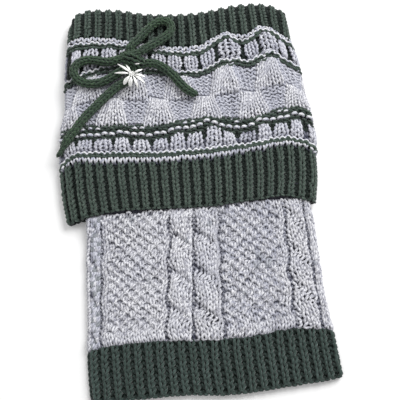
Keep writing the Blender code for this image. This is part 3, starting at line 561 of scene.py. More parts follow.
def cuff_cloth(along, girth):
    """The cuff: up the outside, over the fold by a half circle and down into the mouth."""
    turn = np.clip((along - FOLD_START) / FOLD_RADIUS, 0, math.pi)
    inset = FOLD_RADIUS * (1 - np.cos(turn))
    shift = (FOLD_RADIUS * np.sin(turn) - np.maximum(along - FOLD_END, 0)
             + np.minimum(along, 0))
    return flat_tube(CUFF_SECTIONS, np.minimum(along, FOLD_START), girth, inset, shift)


def leg_cloth(along, girth):
    """The leg's tube from the hem to under the cuff."""
    return flat_tube(LEG_SECTIONS, along, girth, 0.0, np.minimum(along, 0))


def core_cloth(along, girth):
    """The leg's tube inside the cuff, between the cuff's front and back layers."""
    leg = LEG_SECTIONS[-1]
    point = flat_tube(LEG_SECTIONS, np.full_like(along, LEG_TOP), girth, 0.0, 0.0)
    span = (point[..., 0] - leg.left) / (leg.right - leg.left)
    left = column(CUFF_SECTIONS, "leg_left", along)
    right = column(CUFF_SECTIONS, "leg_right", along)
    y = hermite(STATIONS, station_heights(CUFF_SECTIONS, along), 2 * span - 1)
    start = leg.y[0] + GAP
    taken = smoothstep(along / CORE_START_RUN)
    y = start + (y - start) * taken + CORE_START_SLOPE * along * (1 - taken)
    y = y - CORE_SHORTENED * (along / FOLD_START)**4
    return np.stack([left + span * (right - left), y, point[..., 2]], axis=-1)


def normals(cloth, along, girth):
    """Unit normals outwards: the cross product of the steps round and along the cloth."""
    ahead = cloth(along + NORMAL_STEP, girth) - cloth(along - NORMAL_STEP, girth)
    around = cloth(along, girth + NORMAL_TURN) - cloth(along, girth - NORMAL_TURN)
    return unit(np.cross(around, ahead))


def wale_girth(place, wales):
    """Girth of a place counted in wales, evenly spread over front, folds and back."""
    edges = np.concatenate([[0], np.cumsum(wales)])
    return np.interp(np.mod(place, edges[-1]), edges, np.arange(5))


def leg_girth(place, along, wales):
    """Girth of a place on the leg, whose front wales follow the slanting gutters."""
    near = np.clip(along, 0, LEG_TOP)
    left, right, low, high = (column(LEG_SECTIONS, name, near)
                              for name in ("left", "right", "low", "high"))
    fold = (high - np.maximum(low, 0)) / 2
    start, end = left + fold, right - fold
    middle = station_heights(LEG_SECTIONS, near)[..., 4]
    share = np.clip((GUTTER_TOP_Y - middle) / (GUTTER_TOP_Y - GUTTER_BOTTOM_Y), 0, 1)
    knots, lines = [0.0], [start]
    for gutter in GUTTERS:
        phase = (middle - gutter.crossing_y) / CABLE_PITCH
        line = (gutter.top + (gutter.bottom - gutter.top) * share
                + gutter.sway * np.cos(2 * math.pi * phase))
        knots += [gutter.wale, gutter.wale + 1]
        lines += [line - GUTTER_HALF_WIDTH, line + GUTTER_HALF_WIDTH]
    front = between_lines([*knots, wales.front], [*lines, end], place)
    return np.where((place >= 0) & (place <= wales.front), (front - start) / (end - start),
                    wale_girth(place, wales))


def box_girth(place, along, wales, name):
    """Girth of a place on a box band, whose dark wales lie on the gaps between the boxes.

    A gap widens from the feet of the boxes to their tops, and in the upper band to both. The
    rows beyond the boxes have even wales.
    """
    band = BOXES[name]
    share = np.clip((along - band.foot) / (band.top - band.foot), 0, 1)
    grown = share**GAP_POWER if name == "lower" else (2 * share - 1)**2
    wide = band.least + band.growth * grown
    knots, lines = [0.0], [np.full_like(wide, band.first)]
    for number, (middle, half_width) in enumerate(band.gaps, 1):
        knots += [BOX_REPEAT * number - 1, BOX_REPEAT * number]
        lines += [middle - half_width * wide, middle + half_width * wide]
    lines[-1] = np.full_like(wide, band.last)
    front = (between_lines(knots, lines, place) - band.first) / (band.last - band.first)
    beyond = np.maximum(band.foot - along, along - band.top)
    even = wale_girth(place, wales)
    front = even + (front - even) * (1 - smoothstep(beyond / BOX_BLEND))
    return np.where((place >= 0) & (place < wales.front), front, even)


def box_lift(place, wales, name):
    """How far the box at a place stands out on the front, falling to nothing at its edges."""
    lifts = np.array([*BOXES[name].lifts, 0.0])
    number = np.floor((place + 0.5) / BOX_REPEAT).astype(int)
    number = np.where((place >= 0) & (place < wales.front), number, len(lifts) - 1)
    return lifts[number] * (1 - smoothstep((box_distance(place) - BOX_FLAT) / (0.5 - BOX_FLAT)))


def box_rise(place, along, name):
    """How far a course is pushed up by the tall boxes of the lower band, in millimetres.

    It is read between the boxes' middles, where it goes with the square of the box's lift. It
    grows from the feet to the tops and fades out towards the band's upper edge.
    """
    if name != "lower":
        return 0.0
    band = BOXES[name]
    grown = smoothstep((along - band.foot) / (band.top - band.foot))
    faded = 1 - smoothstep((along - band.top - RISE_KEPT) / RISE_FADE)
    lifts = np.clip([*band.lifts, 0.0], 0, 1)
    middles = BOX_REPEAT * np.arange(len(lifts)) + (BOX_REPEAT - 1) / 2
    tall = np.interp(place, middles, lifts**2)
    return BOX_RISE * tall * grown * faded


# Stitches and their yarn

def stitch_faces(courses, wales):
    """Which way each stitch faces: 1 for knit and -1 for purl, a row for each course."""
    wale = np.arange(sum(wales))
    faces = []
    for number, course in enumerate(courses):
        knits = np.full(len(wale), course.stitch not in ("purl", "dashes", "dots", "line"))
        if course.stitch == "rib":
            knits = wale % 2 == 0
        elif course.stitch == "basket":
            turn = BASKET_START + (number // BASKET_TIER) * BASKET_REPEAT // 2
            knits = (wale - turn) % BASKET_REPEAT < BASKET_BLOCK
        elif course.stitch == "leg":
            knits = leg_knits(wale, number, wales)
        faces.append(np.where(knits, 1.0, -1.0))
    return np.array(faces)


def leg_knits(wale, row, wales):
    """The leg's knit stitches: cables, chains, first rows, and every other one in the moss.

    The gutters are purl, and the wales of the back mirror the front's.
    """
    back = wale - wales.front - wales.right
    mirrored = np.where((back >= 0) & (back < wales.back), wales.front - 1 - back, 0)
    wale = np.where(wale < wales.front, wale, mirrored)
    knits = ((wale + row) % 2 == 0) | (row < LEG_PLAIN_ROWS)
    for cable in CABLES:
        knits |= (wale >= cable.first) & (wale < cable.first + cable.wales)
    knits &= ~np.isin(wale, [gutter.wale for gutter in GUTTERS])
    return knits | np.isin(wale, CHAINS)


def stitch_shades(courses, wales, faces, kind):
    """The yarn of each stitch: green, a dark fleck, cooler or lighter grey marl, or white.

    Cool patches come from remainders of the wale's and the course's numbers. Sunken boxes and
    the leg's left strip get cooler and darker yarn as painted shade.
    """
    wale = np.arange(sum(wales))
    shades = []
    for number, course in enumerate(courses):
        shade = np.full(len(wale), course.shade)
        if course.stitch == "boxes":
            shade[wale % BOX_REPEAT == BOX_REPEAT - 1] = GREEN
        elif course.stitch == "dots":
            shade[np.mod(wale - DOT_START, DOT_REPEAT) < DOT_WIDTH] = WHITE
        elif course.stitch == "vees":
            shade[(wale > 22) & (wale < 34) & (wale % 4 < 3)] = COOL_OR_SHADED
        elif course.stitch in ("basket", "leg"):
            patch = (wale % 50 > 26) & ((wale * 7 + number * 11) % 5 < 3)
            shade[(faces[number] < 0) & (patch | (course.stitch == "basket"))] = COOL_OR_SHADED
        if course.stitch in ("boxes", "feet"):
            # Painted shade: the stitches of sunken boxes get cooler yarn.
            sunk = box_lift(wale + 0.5, wales, kind) < SHADED_BOX_LIFT
            shade[sunk & (shade == MIST)] = COOL_OR_SHADED
        elif course.stitch == "leg":
            # Painted shade: the leg's left strip gets darker and cooler yarn.
            strip = wale[:LEFT_STRIP]
            shade[strip] = np.choose((strip * 5 + number * 3) % 7 // 2, (SHADED_DARK, COOL_OR_SHADED, COOL_OR_SHADED, GREY))
        shades.append(shade)
    shades = np.array(shades)
    if kind == "leg":
        flecked, rows = np.transpose(FLECKS)
        shades[rows, flecked] = FLECK
    return shades


def relief(kind, place, along):
    """How far the cloth stands out at a place: ribs by a cosine, blocks and boxes by domes."""
    if kind == "leg":
        return leg_relief(place, along)
    if kind in RIB_SWING:
        return RIB_SWING[kind] * np.cos(math.pi * (place - 0.5))
    if kind in BOXES:
        away = box_distance(place)
        band = BOXES[kind]
        inside = (smoothstep((along - band.foot + BELOW_FEET) / BOX_FADE)
                  * smoothstep((band.top + ABOVE_TOPS - along) / BOX_FADE))
        gap = smoothstep((away - BOX_HALF) / BOX_EDGE)
        return inside * BOX_SWING * (1 - GAP_SUNK * gap)
    upper = along > TIER_SEAM
    away = np.abs(np.mod(block_count(place) - 0.5 * upper + 0.5, 1.0) - 0.5)
    middle = np.where(upper, UPPER_TIER_MIDDLE, LOWER_TIER_MIDDLE)
    dome = np.clip(1 - ((along - middle) / TIER_HALF_HEIGHT)**4, 0, 1)
    block = 1 - smoothstep((away - BLOCK_HALF) / BLOCK_EDGE)
    return BLOCK_SWING * (BLOCK_DOME * block * dome - PATCH_SUNK)


def block_count(place):
    """Place counted in basketweave repeats, whole at the middles of the lower tier's blocks."""
    return (place - BASKET_START - BASKET_BLOCK / 2) / BASKET_REPEAT


def basket_warp(place, along):
    """How the basketweave's wales and rows give way, in wales and in millimetres.

    Blocks are broad at their feet and narrow at their tops: the wales move by a sine of the
    block count, times a cosine that goes once round over the band. The upper tier's rows slant.
    """
    wave = np.sin(2 * math.pi * block_count(place))
    turn = 2 * math.pi * (along - BASKET_FOOT) / (BASKET_TOP - BASKET_FOOT)
    across = BASKET_SPREAD * np.cos(turn) * wave
    slant = smoothstep((along - SLANT_START) / 8.0) * smoothstep((SLANT_END - along) / 6.0)
    return across, -BASKET_SLANT * slant * wave


def box_distance(place):
    """Distance from the middle of the nearest box, in box widths."""
    middle = (place - (BOX_REPEAT - 1) / 2) / BOX_REPEAT
    return np.abs(np.mod(middle + 0.5, 1.0) - 0.5)


def leg_y(along):
    """Y of the leg's courses in the middle of the leg, where they run straight."""
    level_row = LEG_SECTIONS[4]
    return along - level_row.along + level_row.y[0]


def cable_phase(cable, place, along):
    """Place across a cable from -1 to 1, and its turns since the crossing, slanting across."""
    u = (place - cable.first) / cable.wales * 2 - 1
    return u, (leg_y(along) - cable.crossing_y) / CABLE_PITCH + CABLE_SLANT * np.clip(u, -1, 1)


def leg_relief(place, along):
    """Gutters and the left edge sink, and cables are domes with slanting grooves.

    A groove is deepest at its left end.
    """
    height = -EDGE_SUNK * np.clip(GUTTERS[0].wale - place, 0, 1) * (place >= 0)
    for gutter in GUTTERS:
        away = np.abs(place - gutter.wale - 0.5)
        height = height - GUTTER_DEPTH * np.exp(-(away / GUTTER_REACH)**2)
    for cable in CABLES:
        u, phase = cable_phase(cable, place, along)
        away = np.abs(np.mod(phase + 0.5, 1.0) - 0.5) / CABLE_GROOVE_HALF_WIDTH
        deep = np.clip(GROOVE_MIDDLE - GROOVE_TILT * u, 0, GROOVE_MOST)
        groove = np.cos(np.clip(away, 0, 1) * math.pi / 2) * deep
        dome = np.sqrt(np.clip(1 - u**4, 0, 1))
        height = height + dome * (CABLE_HEIGHT - cable.groove * groove)
    return height * smoothstep((LEG_SHOWN_Y - leg_y(along)) / LEG_SHOWN_RUN)


def cable_swing(place, along):
    """Sideways swing of a cable's wales, in wales: a saw tooth that jumps in the grooves."""
    swing = np.zeros_like(place)
    for cable in CABLES:
        u, phase = cable_phase(cable, place, along)
        phase = np.mod(phase, 1.0)
        jump = smoothstep((phase - CABLE_JUMP) / (1 - CABLE_JUMP))
        swing = swing - CABLE_SWING * (phase - 0.5 - jump) * (1 - np.clip(u, -1, 1)**4)
    return swing


def loop_places(wales):
    """Places of a course's points in wales, denser on the front and folds than on the back."""
    start = wales.front + wales.right
    counts = [BACK_DETAIL if start <= number < start + wales.back else FRONT_DETAIL
              for number in range(sum(wales))]
    return np.concatenate([number + np.arange(count) / count
                           for number, count in enumerate(counts)])


def has_stitch(courses, *stitches):
    """A column that says which courses have one of the stitches."""
    return np.array([[course.stitch in stitches] for course in courses])


def between_stitches(values, place):
    """Values of the stitches, read smoothly between their middles round a closed course."""
    count = values.shape[1]
    low = np.floor(place - 0.5).astype(int)
    t = smoothstep(place - 0.5 - low)
    return values[:, low % count] * (1 - t) + values[:, (low + 1) % count] * t


# Rows of yarn: their middle lines, the cloth's normals there, radii, shades and how far out of
# the cloth they lie.
Yarn = namedtuple("Yarn", "lines normal radius shades out")


def yarn_courses(cloth, courses, wales, kind, seed, yarn_scale):
    """The yarn of a band's courses, one closed line for each course.

    Along one stitch the angle a goes once round. The yarn moves across by lean times sin 2a,
    skewed in ribs, along the cloth by minus reach cos a, and out of it by minus bulge cos 2a
    for a knit stitch and plus that for a purl one, over the relief of the band. With the foot
    0.5 + 0.5 cos a, vees sink by its fourth power, peaks by that of one minus it, and beads
    drop by a power of it. On the back the yarn is flatter and has no relief.
    """
    noise = np.random.default_rng(seed)
    rib = kind in RIB_SWING
    place = loop_places(wales)
    count = sum(wales)
    course_along, reach, lift, radius, lean = np.array(
        [[course.along, course.reach, course.lift, course.radius,
          STITCH_LEANS.get(course.stitch, LEAN)] for course in courses]).T[..., None]
    faces = stitch_faces(courses, wales)
    stitch = np.floor(place).astype(int) % count
    f = place - np.floor(place)
    beads = has_stitch(courses, "dashes", "dots")
    angle = 2 * math.pi * np.where(beads, np.mod(place * DASH_COUNT / count, 1.0), f)
    before, here, after = (faces[:, (stitch + step) % count] for step in (-1, 0, 1))
    face = np.where(f < TURN, before + (here - before) * smoothstep(0.5 + f / TURN / 2), here)
    face = np.where(f > 1 - TURN, here + (after - here) * smoothstep((f - 1 + TURN) / TURN / 2),
                    face)
    wobble = [between_stitches(noise.normal(0, spread, (len(courses), count)), place)
              for spread in (LEG_WOBBLE if kind == "leg" else WOBBLE)]
    slow = between_stitches(noise.normal(0, 1.0, (1, count)), place)
    skew = RIB_SKEW if rib else 0.0
    place_now = place + wobble[0] + lean * np.sin(2 * angle) * (1 - skew * np.sin(angle))
    along_now = (course_along + wobble[1] + WALE_WOBBLE * slow
                 - reach * np.cos(angle) * (1 + wobble[3]))
    girth = wale_girth(place, wales)
    hidden = smoothstep((girth - 1) / FOLD_TURNED)
    shown = 1 - hidden * (1 - smoothstep((girth - 4 + FOLD_TURNED) / FOLD_TURNED))
    bulge = np.where((here < 0) & (kind == "basket"), PATCH_BULGE, RIB_BULGE if rib else BULGE)
    depth = -face * (BACK_BULGE + (bulge - BACK_BULGE) * shown) * np.cos(2 * angle)
    foot = 0.5 + 0.5 * np.cos(angle)
    for stitches, point in (("vees", foot), ("peaks", 1 - foot)):
        depth = depth - POINT_SUNK * has_stitch(courses, stitches) * point**4 * shown
    depth = np.where(beads, (BEAD_LIFT - BEAD_DROP * foot**BEAD_POWER) * shown, depth)
    depth = np.where(has_stitch(courses, "line"), LINE_DEPTH * depth, depth)
    if kind in BOXES:
        band = BOXES[kind]
        arch = np.clip((course_along - band.foot) / (band.top - band.foot) * 2 - 1, -1, 1)
        arch = arch * (1 - 2 * box_distance(place))
        tall = 1 + (TALL_BOX_FAN * box_lift(place, wales, kind) if kind == "upper" else 0.0)
        along_now = along_now + BOX_FAN * tall * arch * shown
    height = relief(kind, place_now, along_now)
    if kind == "leg":
        front = (place_now >= 0) & (place_now < wales.front)
        place_now = place_now + np.where(front, cable_swing(place_now, along_now), 0.0)
        girth = leg_girth(place_now, along_now, wales)
    elif kind in BOXES:
        boxes = np.where(has_stitch(courses, "boxes", "feet"), 1.0, PLAIN_ROW_LIFT)
        height = height + boxes * box_lift(place_now, wales, kind)
        girth = box_girth(place_now, along_now, wales, kind)
        along_now = along_now + box_rise(place, course_along, kind) * shown
    else:
        if rib:
            place_now = place_now + RIB_SPREAD * np.sin(math.pi * (place_now - 0.5))
        else:
            across, slant = basket_warp(place_now, along_now)
            place_now = place_now + across * shown
            along_now = along_now + slant * shown
        girth = wale_girth(place_now, wales)
    sunk = BACK_SUNK + ((RIB_SUNK if rib else FRONT_SUNK) - BACK_SUNK) * shown
    out = depth + (wobble[2] + height + lift) * shown - sunk
    if kind == "rib":
        over = smoothstep((along_now - FOLD_START + FOLD_BLEND) / (2 * FOLD_BLEND))
        out = out - over * (FOLD_SUNK + FOLD_FLATTENED * depth)
    normal = normals(cloth, along_now, girth)
    shades = stitch_shades(courses, wales, faces, kind)[:, stitch]
    return Yarn(cloth(along_now, girth) + normal * out[..., None], normal,
                radius * yarn_scale + 0 * out, shades, out)


def yarn_mesh(name, yarn, closed, deep, high):
    """Round tubes along the lines, with an even UV map of strips and one that follows the yarn.

    At each point the tube's circle lies in the plane of two directions: the line's tangent
    crossed with the cloth's normal, and that crossed with the tangent again. The attribute
    "open" is zero where the yarn's surface is at the depth deep and one at the height high; it
    carries painted shade, as the finish darkens the yarn where it lies deep.
    """
    lines, normal, radius, shades, out = yarn
    rows, count = lines.shape[:2]
    if closed:
        step = np.roll(lines, -1, axis=1) - lines
        tangent = step + np.roll(step, 1, axis=1)
    else:
        step = np.diff(lines, axis=1)
        tangent = np.gradient(lines, axis=1)
    tangent = unit(tangent)
    side = unit(np.cross(tangent, normal))
    circle = circle_round(side, np.cross(side, tangent), SIDES)
    points = lines[..., None, :] + circle * radius[..., None, None]
    quads = step.shape[1]
    index = np.arange(rows * count * SIDES).reshape(rows, count, SIDES)
    near = index[:, :quads]
    far = np.roll(index, -1, axis=1)[:, :quads]
    faces = np.stack([near, far, np.roll(far, -1, axis=2), np.roll(near, -1, axis=2)], axis=-1)
    length = np.linalg.norm(step, axis=-1)
    end = np.cumsum(length, axis=1)
    u = np.stack([end - length, end, end, end - length], axis=-1)[:, :, None, :]
    v = (np.arange(SIDES)[:, None] + np.array([0, 0, 1, 1])) / SIDES
    follow = np.stack(np.broadcast_arrays(u, v), axis=-1)
    total = float(end[0, -1])
    girth = 2 * math.pi * float(radius.mean())
    strips = max(1, round(total / math.sqrt(rows * total * girth)))
    run = math.ceil(quads / strips)
    number = np.arange(quads)
    strip = (np.arange(rows)[:, None] * strips + number // run)[:, :, None, None]
    even_u = ((number % run)[:, None] + np.array([0, 1, 1, 0]))[:, None, :] / run
    even_v = (strip + STRIP_MARGIN + (1 - 2 * STRIP_MARGIN) * v) / (rows * strips)
    even = np.stack(np.broadcast_arrays(even_u, even_v), axis=-1)
    made = mesh_piece(name, points, faces.reshape(-1, 4), {"OFBake": even, "yarn": follow})
    # Painted shade: how deep each point of the tube lies, from full shade at deep to none at
    # high.
    rise = out[..., None] + (circle * normal[..., None, :]).sum(axis=-1) * radius[..., None]
    for title, values in (("shade", np.repeat(shades.ravel(), SIDES)),
                          ("open", np.clip((rise.ravel() - deep) / (high - deep), 0, 1))):
        layer = made.data.attributes.new(title, "FLOAT", "POINT")
        layer.data.foreach_set("value", values.astype(np.float32))
    return made


def circle_round(side, up, count):
    """Directions all round a line, from its sideways and upward ones."""
    turn = 2 * math.pi * np.arange(count)[:, None] / count
    return np.cos(turn) * side[..., None, :] + np.sin(turn) * up[..., None, :]


def linked(name, data):
    """A new object in the scene."""
    made = bpy.data.objects.new(name, data)
    bpy.context.scene.collection.objects.link(made)
    return made


def mesh_piece(name, points, faces, maps=None):
    """A smooth-shaded mesh in metres with its UV maps, linked to the scene."""
    mesh = bpy.data.meshes.new(name)
    points = np.reshape(points, (-1, 3)) * MM
    mesh.from_pydata(points.tolist(), [], faces if isinstance(faces, list) else faces.tolist())
    for title, corners in (maps or {}).items():
        mesh.uv_layers.new(name=title).data.foreach_set("uv", corners.ravel())
    mesh.update()
    mesh.shade_smooth()
    return linked(name, mesh)


def ring_quads(index):
    """Quads between the rows of a grid of point numbers, whose rows are closed rings."""
    turned = np.roll(index, -1, axis=1)
    quads = np.stack([index[:-1], index[1:], turned[1:], turned[:-1]], axis=-1)
    return quads.reshape(-1, 4).tolist()


def capped(index, pole):
    """The quads of rings of point numbers, and fans that close them at two poles."""
    faces = ring_quads(index)
    for end, rim in ((pole, index[0]), (pole + 1, index[-1][::-1])):
        faces += np.stack([np.full_like(rim, end), rim, np.roll(rim, -1)], axis=-1).tolist()
    return faces


def shell_piece(name, cloth, first, last):
    """A thin closed wall under the yarn: an outer and an inner grid joined at both ends."""
    along = np.linspace(first, last, max(4, int((last - first) / SHELL_STEP)))
    girth = np.concatenate([np.linspace(side, side + 1, count, endpoint=False)
                            for side, count in enumerate(SHELL_COLUMNS)])
    along, girth = np.meshgrid(along, girth, indexing="ij")
    point = cloth(along, girth)
    normal = normals(cloth, along, girth)
    loop = np.concatenate([point - normal * SHELL_OUTSIDE,
                           (point - normal * SHELL_INSIDE)[::-1]])
    count, columns = loop.shape[:2]
    index = np.arange(count * columns).reshape(count, columns)
    far = np.roll(index, -1, axis=0)
    faces = np.stack([index, np.roll(index, -1, axis=1), np.roll(far, -1, axis=1), far], axis=-1)
    u = np.arange(columns)[None, :, None] + np.array([0, 1, 1, 0])
    v = np.arange(count)[:, None, None] + np.array([0, 0, 1, 1])
    even = np.stack(np.broadcast_arrays(u / columns, v / count), axis=-1)
    return mesh_piece(name, loop, faces.reshape(-1, 4), {"OFBake": even})


# Finishes

class Tone:
    """A shader socket whose arithmetic adds Math nodes."""

    def __init__(self, nodes, socket):
        self.nodes = nodes
        self.socket = socket

    def math(self, operation, *others, swap=False):
        values = [self, *others][::-1] if swap else [self, *others]
        return self.nodes.node("ShaderNodeMath", {"operation": operation}, values)

    def __add__(self, other):
        return self.math("ADD", other)

    __radd__ = __add__

    def __sub__(self, other):
        return self.math("SUBTRACT", other)

    def __rsub__(self, other):
        return self.math("SUBTRACT", other, swap=True)

    def __mul__(self, other):
        return self.math("MULTIPLY", other)

    __rmul__ = __mul__


class Nodes:
    """Adds nodes to one material and sets its shader's sockets."""

    def __init__(self, name):
        self.material = bpy.data.materials.new(name)
        self.material.use_nodes = True
        self.tree = self.material.node_tree
        self.shader = self.tree.nodes["Principled BSDF"]

    def node(self, kind, settings, values, output=0):
        """A node of that type, with its settings, then its sockets by order or by name."""
        made = self.tree.nodes.new(kind)
        for name, value in settings.items():
            setattr(made, name, value)
        for key, value in values.items() if isinstance(values, dict) else enumerate(values):
            self.feed(made.inputs[key], value)
        return Tone(self, made.outputs[output])

    def feed(self, socket, value):
        """Links a tone to a socket, or sets the socket to a constant."""
        if isinstance(value, Tone):
            self.tree.links.new(value.socket, socket)
        else:
            socket.default_value = value

    def attribute(self, name):
        return self.node("ShaderNodeAttribute", {"attribute_name": name}, {}, "Fac")

    def place(self):
        return self.node("ShaderNodeTexCoord", {}, {}, "Object")

    def join(self, x, y):
        return self.node("ShaderNodeCombineXYZ", {}, [x, y])

    def noise(self, vector, scale, detail=2.0, roughness=0.5):
        return self.node("ShaderNodeTexNoise", {}, {"Vector": vector, "Scale": scale,
                                                     "Detail": detail, "Roughness": roughness})

    def ramp(self, value, low, high):
        """Zero below low, one above high and smooth between."""
        return self.node("ShaderNodeMapRange", {"interpolation_type": "SMOOTHSTEP"},
                         {"Value": value, "From Min": low, "From Max": high})

    def mix(self, factor, first, second):
        """A colour between two colours."""
        return self.node("ShaderNodeMix", {"data_type": "RGBA"},
                         {0: factor, 6: colour(first), 7: colour(second)}, 2)

    def bump(self, height, distance, strength):
        return self.node("ShaderNodeBump", {}, {"Height": height, "Distance": distance,
                                                "Strength": strength})

    def finish(self, values):
        for name, value in values.items():
            self.feed(self.shader.inputs[name], value)
        return self.material


def colour(values):
    """A colour with its alpha, or a tone as it is."""
    return values if isinstance(values, Tone) else (*values, 1.0)


def yarn_finish(name, green, props):
    """Spun wool: plies twist round the yarn, fine fibres run along it, and its tone drifts.

    A ply's height is a sine of three times the turns round the yarn plus one turn for each ply
    length along it. The shade attribute goes from green through grey marl to white. Painted
    shade darkens the yarn between its plies and where the attribute "open" says it lies deep.
    """
    nodes = Nodes(name)
    uv = nodes.node("ShaderNodeUVMap", {"uv_map": "yarn"}, {})
    u, v = (nodes.node("ShaderNodeSeparateXYZ", {}, [uv], axis) for axis in (0, 1))
    twist = v + u * (1 / props.ply_length_mm)
    ply = (twist * (2 * math.pi * 3)).math("SINE") * 0.5 + 0.5
    streak = nodes.noise(nodes.join(u * 0.22 + twist * 2.0, twist * 7.0), 1.0, 3.0, 0.6)
    fleck = nodes.noise(nodes.join(u * 0.45, twist * 3.2), 1.0, 2.0, 0.55)
    drift = nodes.noise(nodes.place(), 55.0)
    shade = nodes.attribute("shade")
    deep = nodes.mix(nodes.ramp(streak, 0.3, 0.75), props.green_dark, green)
    deep = nodes.mix(nodes.ramp(drift, 0.25, 0.75) * 0.35, deep, props.green_dark)
    marl = nodes.mix(nodes.ramp(fleck, 0.36, 0.60), props.grey_dark, props.grey_light)
    marl = nodes.mix(nodes.ramp(streak, 0.35, 0.8) * 0.5, marl, props.grey_light)
    marl = nodes.mix(nodes.ramp(drift, 0.3, 0.8) * 0.3, marl, props.cool_or_shaded_grey)
    # Cool yarn, and painted shade on sunken boxes and the leg's left strip, where the shade
    # attribute is below grey's.
    marl = nodes.mix(nodes.ramp(0.5 - shade, 0.01, 0.07) * 0.42, marl, props.cool_or_shaded_grey)
    white = nodes.mix(nodes.ramp(fleck, 0.36, 0.56), props.cool_or_shaded_grey, props.white)
    past_green = nodes.ramp(shade, 0.15, 0.35)
    tone = nodes.mix(nodes.ramp(shade, 0.65, 0.85), nodes.mix(past_green, deep, marl), white)
    # Painted shade: a near-black green or grey, mixed in between the plies and where the yarn
    # lies deep in the knitting.
    painted_shade = nodes.mix(past_green, props.green_shade_paint, props.grey_shade_paint)
    tone = nodes.mix((1 - nodes.ramp(ply, 0.0, 0.4)) * 0.25, tone, painted_shade)
    tone = nodes.mix(nodes.ramp(nodes.attribute("open"), 0.0, 1.0), painted_shade, tone)
    return nodes.finish({
        "Base Color": tone, "Roughness": 0.92, "Specular IOR Level": 0.25,
        "Normal": nodes.bump(ply * 0.75 + streak * 0.5, 0.00035, 0.9), "Sheen Weight": 0.25,
        "Sheen Roughness": 0.5,
    })


def shade_lining_finish(name, deep, pale):
    """Painted shade for the cloth between the loops: a near-black colour mottled like its yarn.
    """
    nodes = Nodes(name)
    mottle = nodes.noise(nodes.place(), 900.0, 3.0)
    return nodes.finish({"Base Color": nodes.mix(nodes.ramp(mottle, 0.35, 0.65), deep, pale),
                         "Roughness": 0.95, "Specular IOR Level": 0.2,
                         "Normal": nodes.bump(mottle, 0.0004, 0.8)})


def silver_finish(name, props):
    """Matte cast metal with a fine grain and slightly darker patches at random."""
    nodes = Nodes(name)
    grain = nodes.noise(nodes.place(), 2200.0, 3.0)
    worn = nodes.ramp(nodes.noise(nodes.place(), 420.0), 0.3, 0.7)
    return nodes.finish({"Base Color": nodes.mix(worn, (0.80, 0.80, 0.78), props.silver),
                         "Metallic": props.silver_metal,
                         "Roughness": nodes.ramp(grain, 0.2, 0.8) * 0.15 + 0.28,
                         "Normal": nodes.bump(grain, 0.00005, 0.4)})


def floor_finish(name, props):
    """The plain pale surface, which gives off a little light."""
    return Nodes(name).finish({"Base Color": colour(props.floor), "Roughness": 0.7,
                               "Emission Color": colour((1.0, 1.0, 1.0)),
                               "Emission Strength": props.floor_glow})


# Cord

def knot_exit(name):
    """Where a cord meets the knot, and a second point straight out from there."""
    leaving = KNOT_EXITS[name]
    angle = math.radians(leaving.angle) - KNOT_TURN
    a, b, _ = KNOT_HALF_SIZE
    local = np.array([a * math.cos(angle), b * math.sin(angle), leaving.rise])
    normal = unit(np.array([math.cos(angle) / a, math.sin(angle) / b, 0.0]))
    cosine, sine = math.cos(KNOT_TURN), math.sin(KNOT_TURN)
    turn = np.array([[cosine, -sine, 0.0], [sine, cosine, 0.0], [0.0, 0.0, 1.0]])
    point = np.array(KNOT_CENTRE) + turn @ (local + normal * KNOT_CLEARANCE)
    return point, point + turn @ normal * KNOT_STRAIGHT


def distances(line):
    """How far along a line each of its points is."""
    return np.concatenate([[0.0], np.cumsum(np.linalg.norm(np.diff(line, axis=0), axis=1))])


def read_line(marks, distance, values):
    """Values of a line's points, read evenly at marks along it."""
    return np.stack([np.interp(marks, distance, values[:, k]) for k in range(3)], axis=-1)


def cord_route(route, start, end=None):
    """The cord's middle line from the knot along the route, and back to the knot or not.

    It has evenly spaced points, read from a smooth curve through the route's points.
    """
    back = [] if end is None else knot_exit(end)[::-1]
    points = np.array([*knot_exit(start), *route, *back], float)
    chord = distances(points)
    fine = np.linspace(0.0, chord[-1], ROUTE_POINTS)
    curve = np.stack([hermite(chord, points[:, k], fine) for k in range(3)], axis=-1)
    length = distances(curve)
    marks = np.linspace(0.0, length[-1], max(8, round(length[-1] / ROUTE_STEP) + 1))
    return read_line(marks, length, curve)


def path_frames(line):
    """Two unit directions across each point of a line, turned as little as possible.

    The sideways direction is the cross product of the tangent and the vertical, which never
    runs along the line here, and the other one is across both.
    """
    tangent = unit(np.gradient(line, axis=0))
    side = unit(np.cross(tangent, [0.0, 0.0, 1.0]))
    return side, np.cross(side, tangent)


def tapered(share, end):
    """Radius factor of a cord: it narrows over its last bit at a free end, and closes round."""
    if end is None:
        return np.ones_like(share)
    narrowing = smoothstep((share - 1 + end.length) / (0.6 * end.length))
    closing = np.clip((share - 1 + end.tip) / end.tip, 0, 1)
    return (1 - end.narrow * narrowing) * np.sqrt(np.clip(1 - closing**2, 0.02, 1))


def round_bar(name, line, radius, ring=12):
    """A closed tube along a line with a radius for each point, and a pole at each end."""
    points = line[:, None, :] + circle_round(*path_frames(line), ring) * radius[:, None, None]
    index = np.arange(len(line) * ring).reshape(-1, ring)
    return mesh_piece(name, np.concatenate([points.reshape(-1, 3), line[[0, -1]]]),
                      capped(index, index.size))


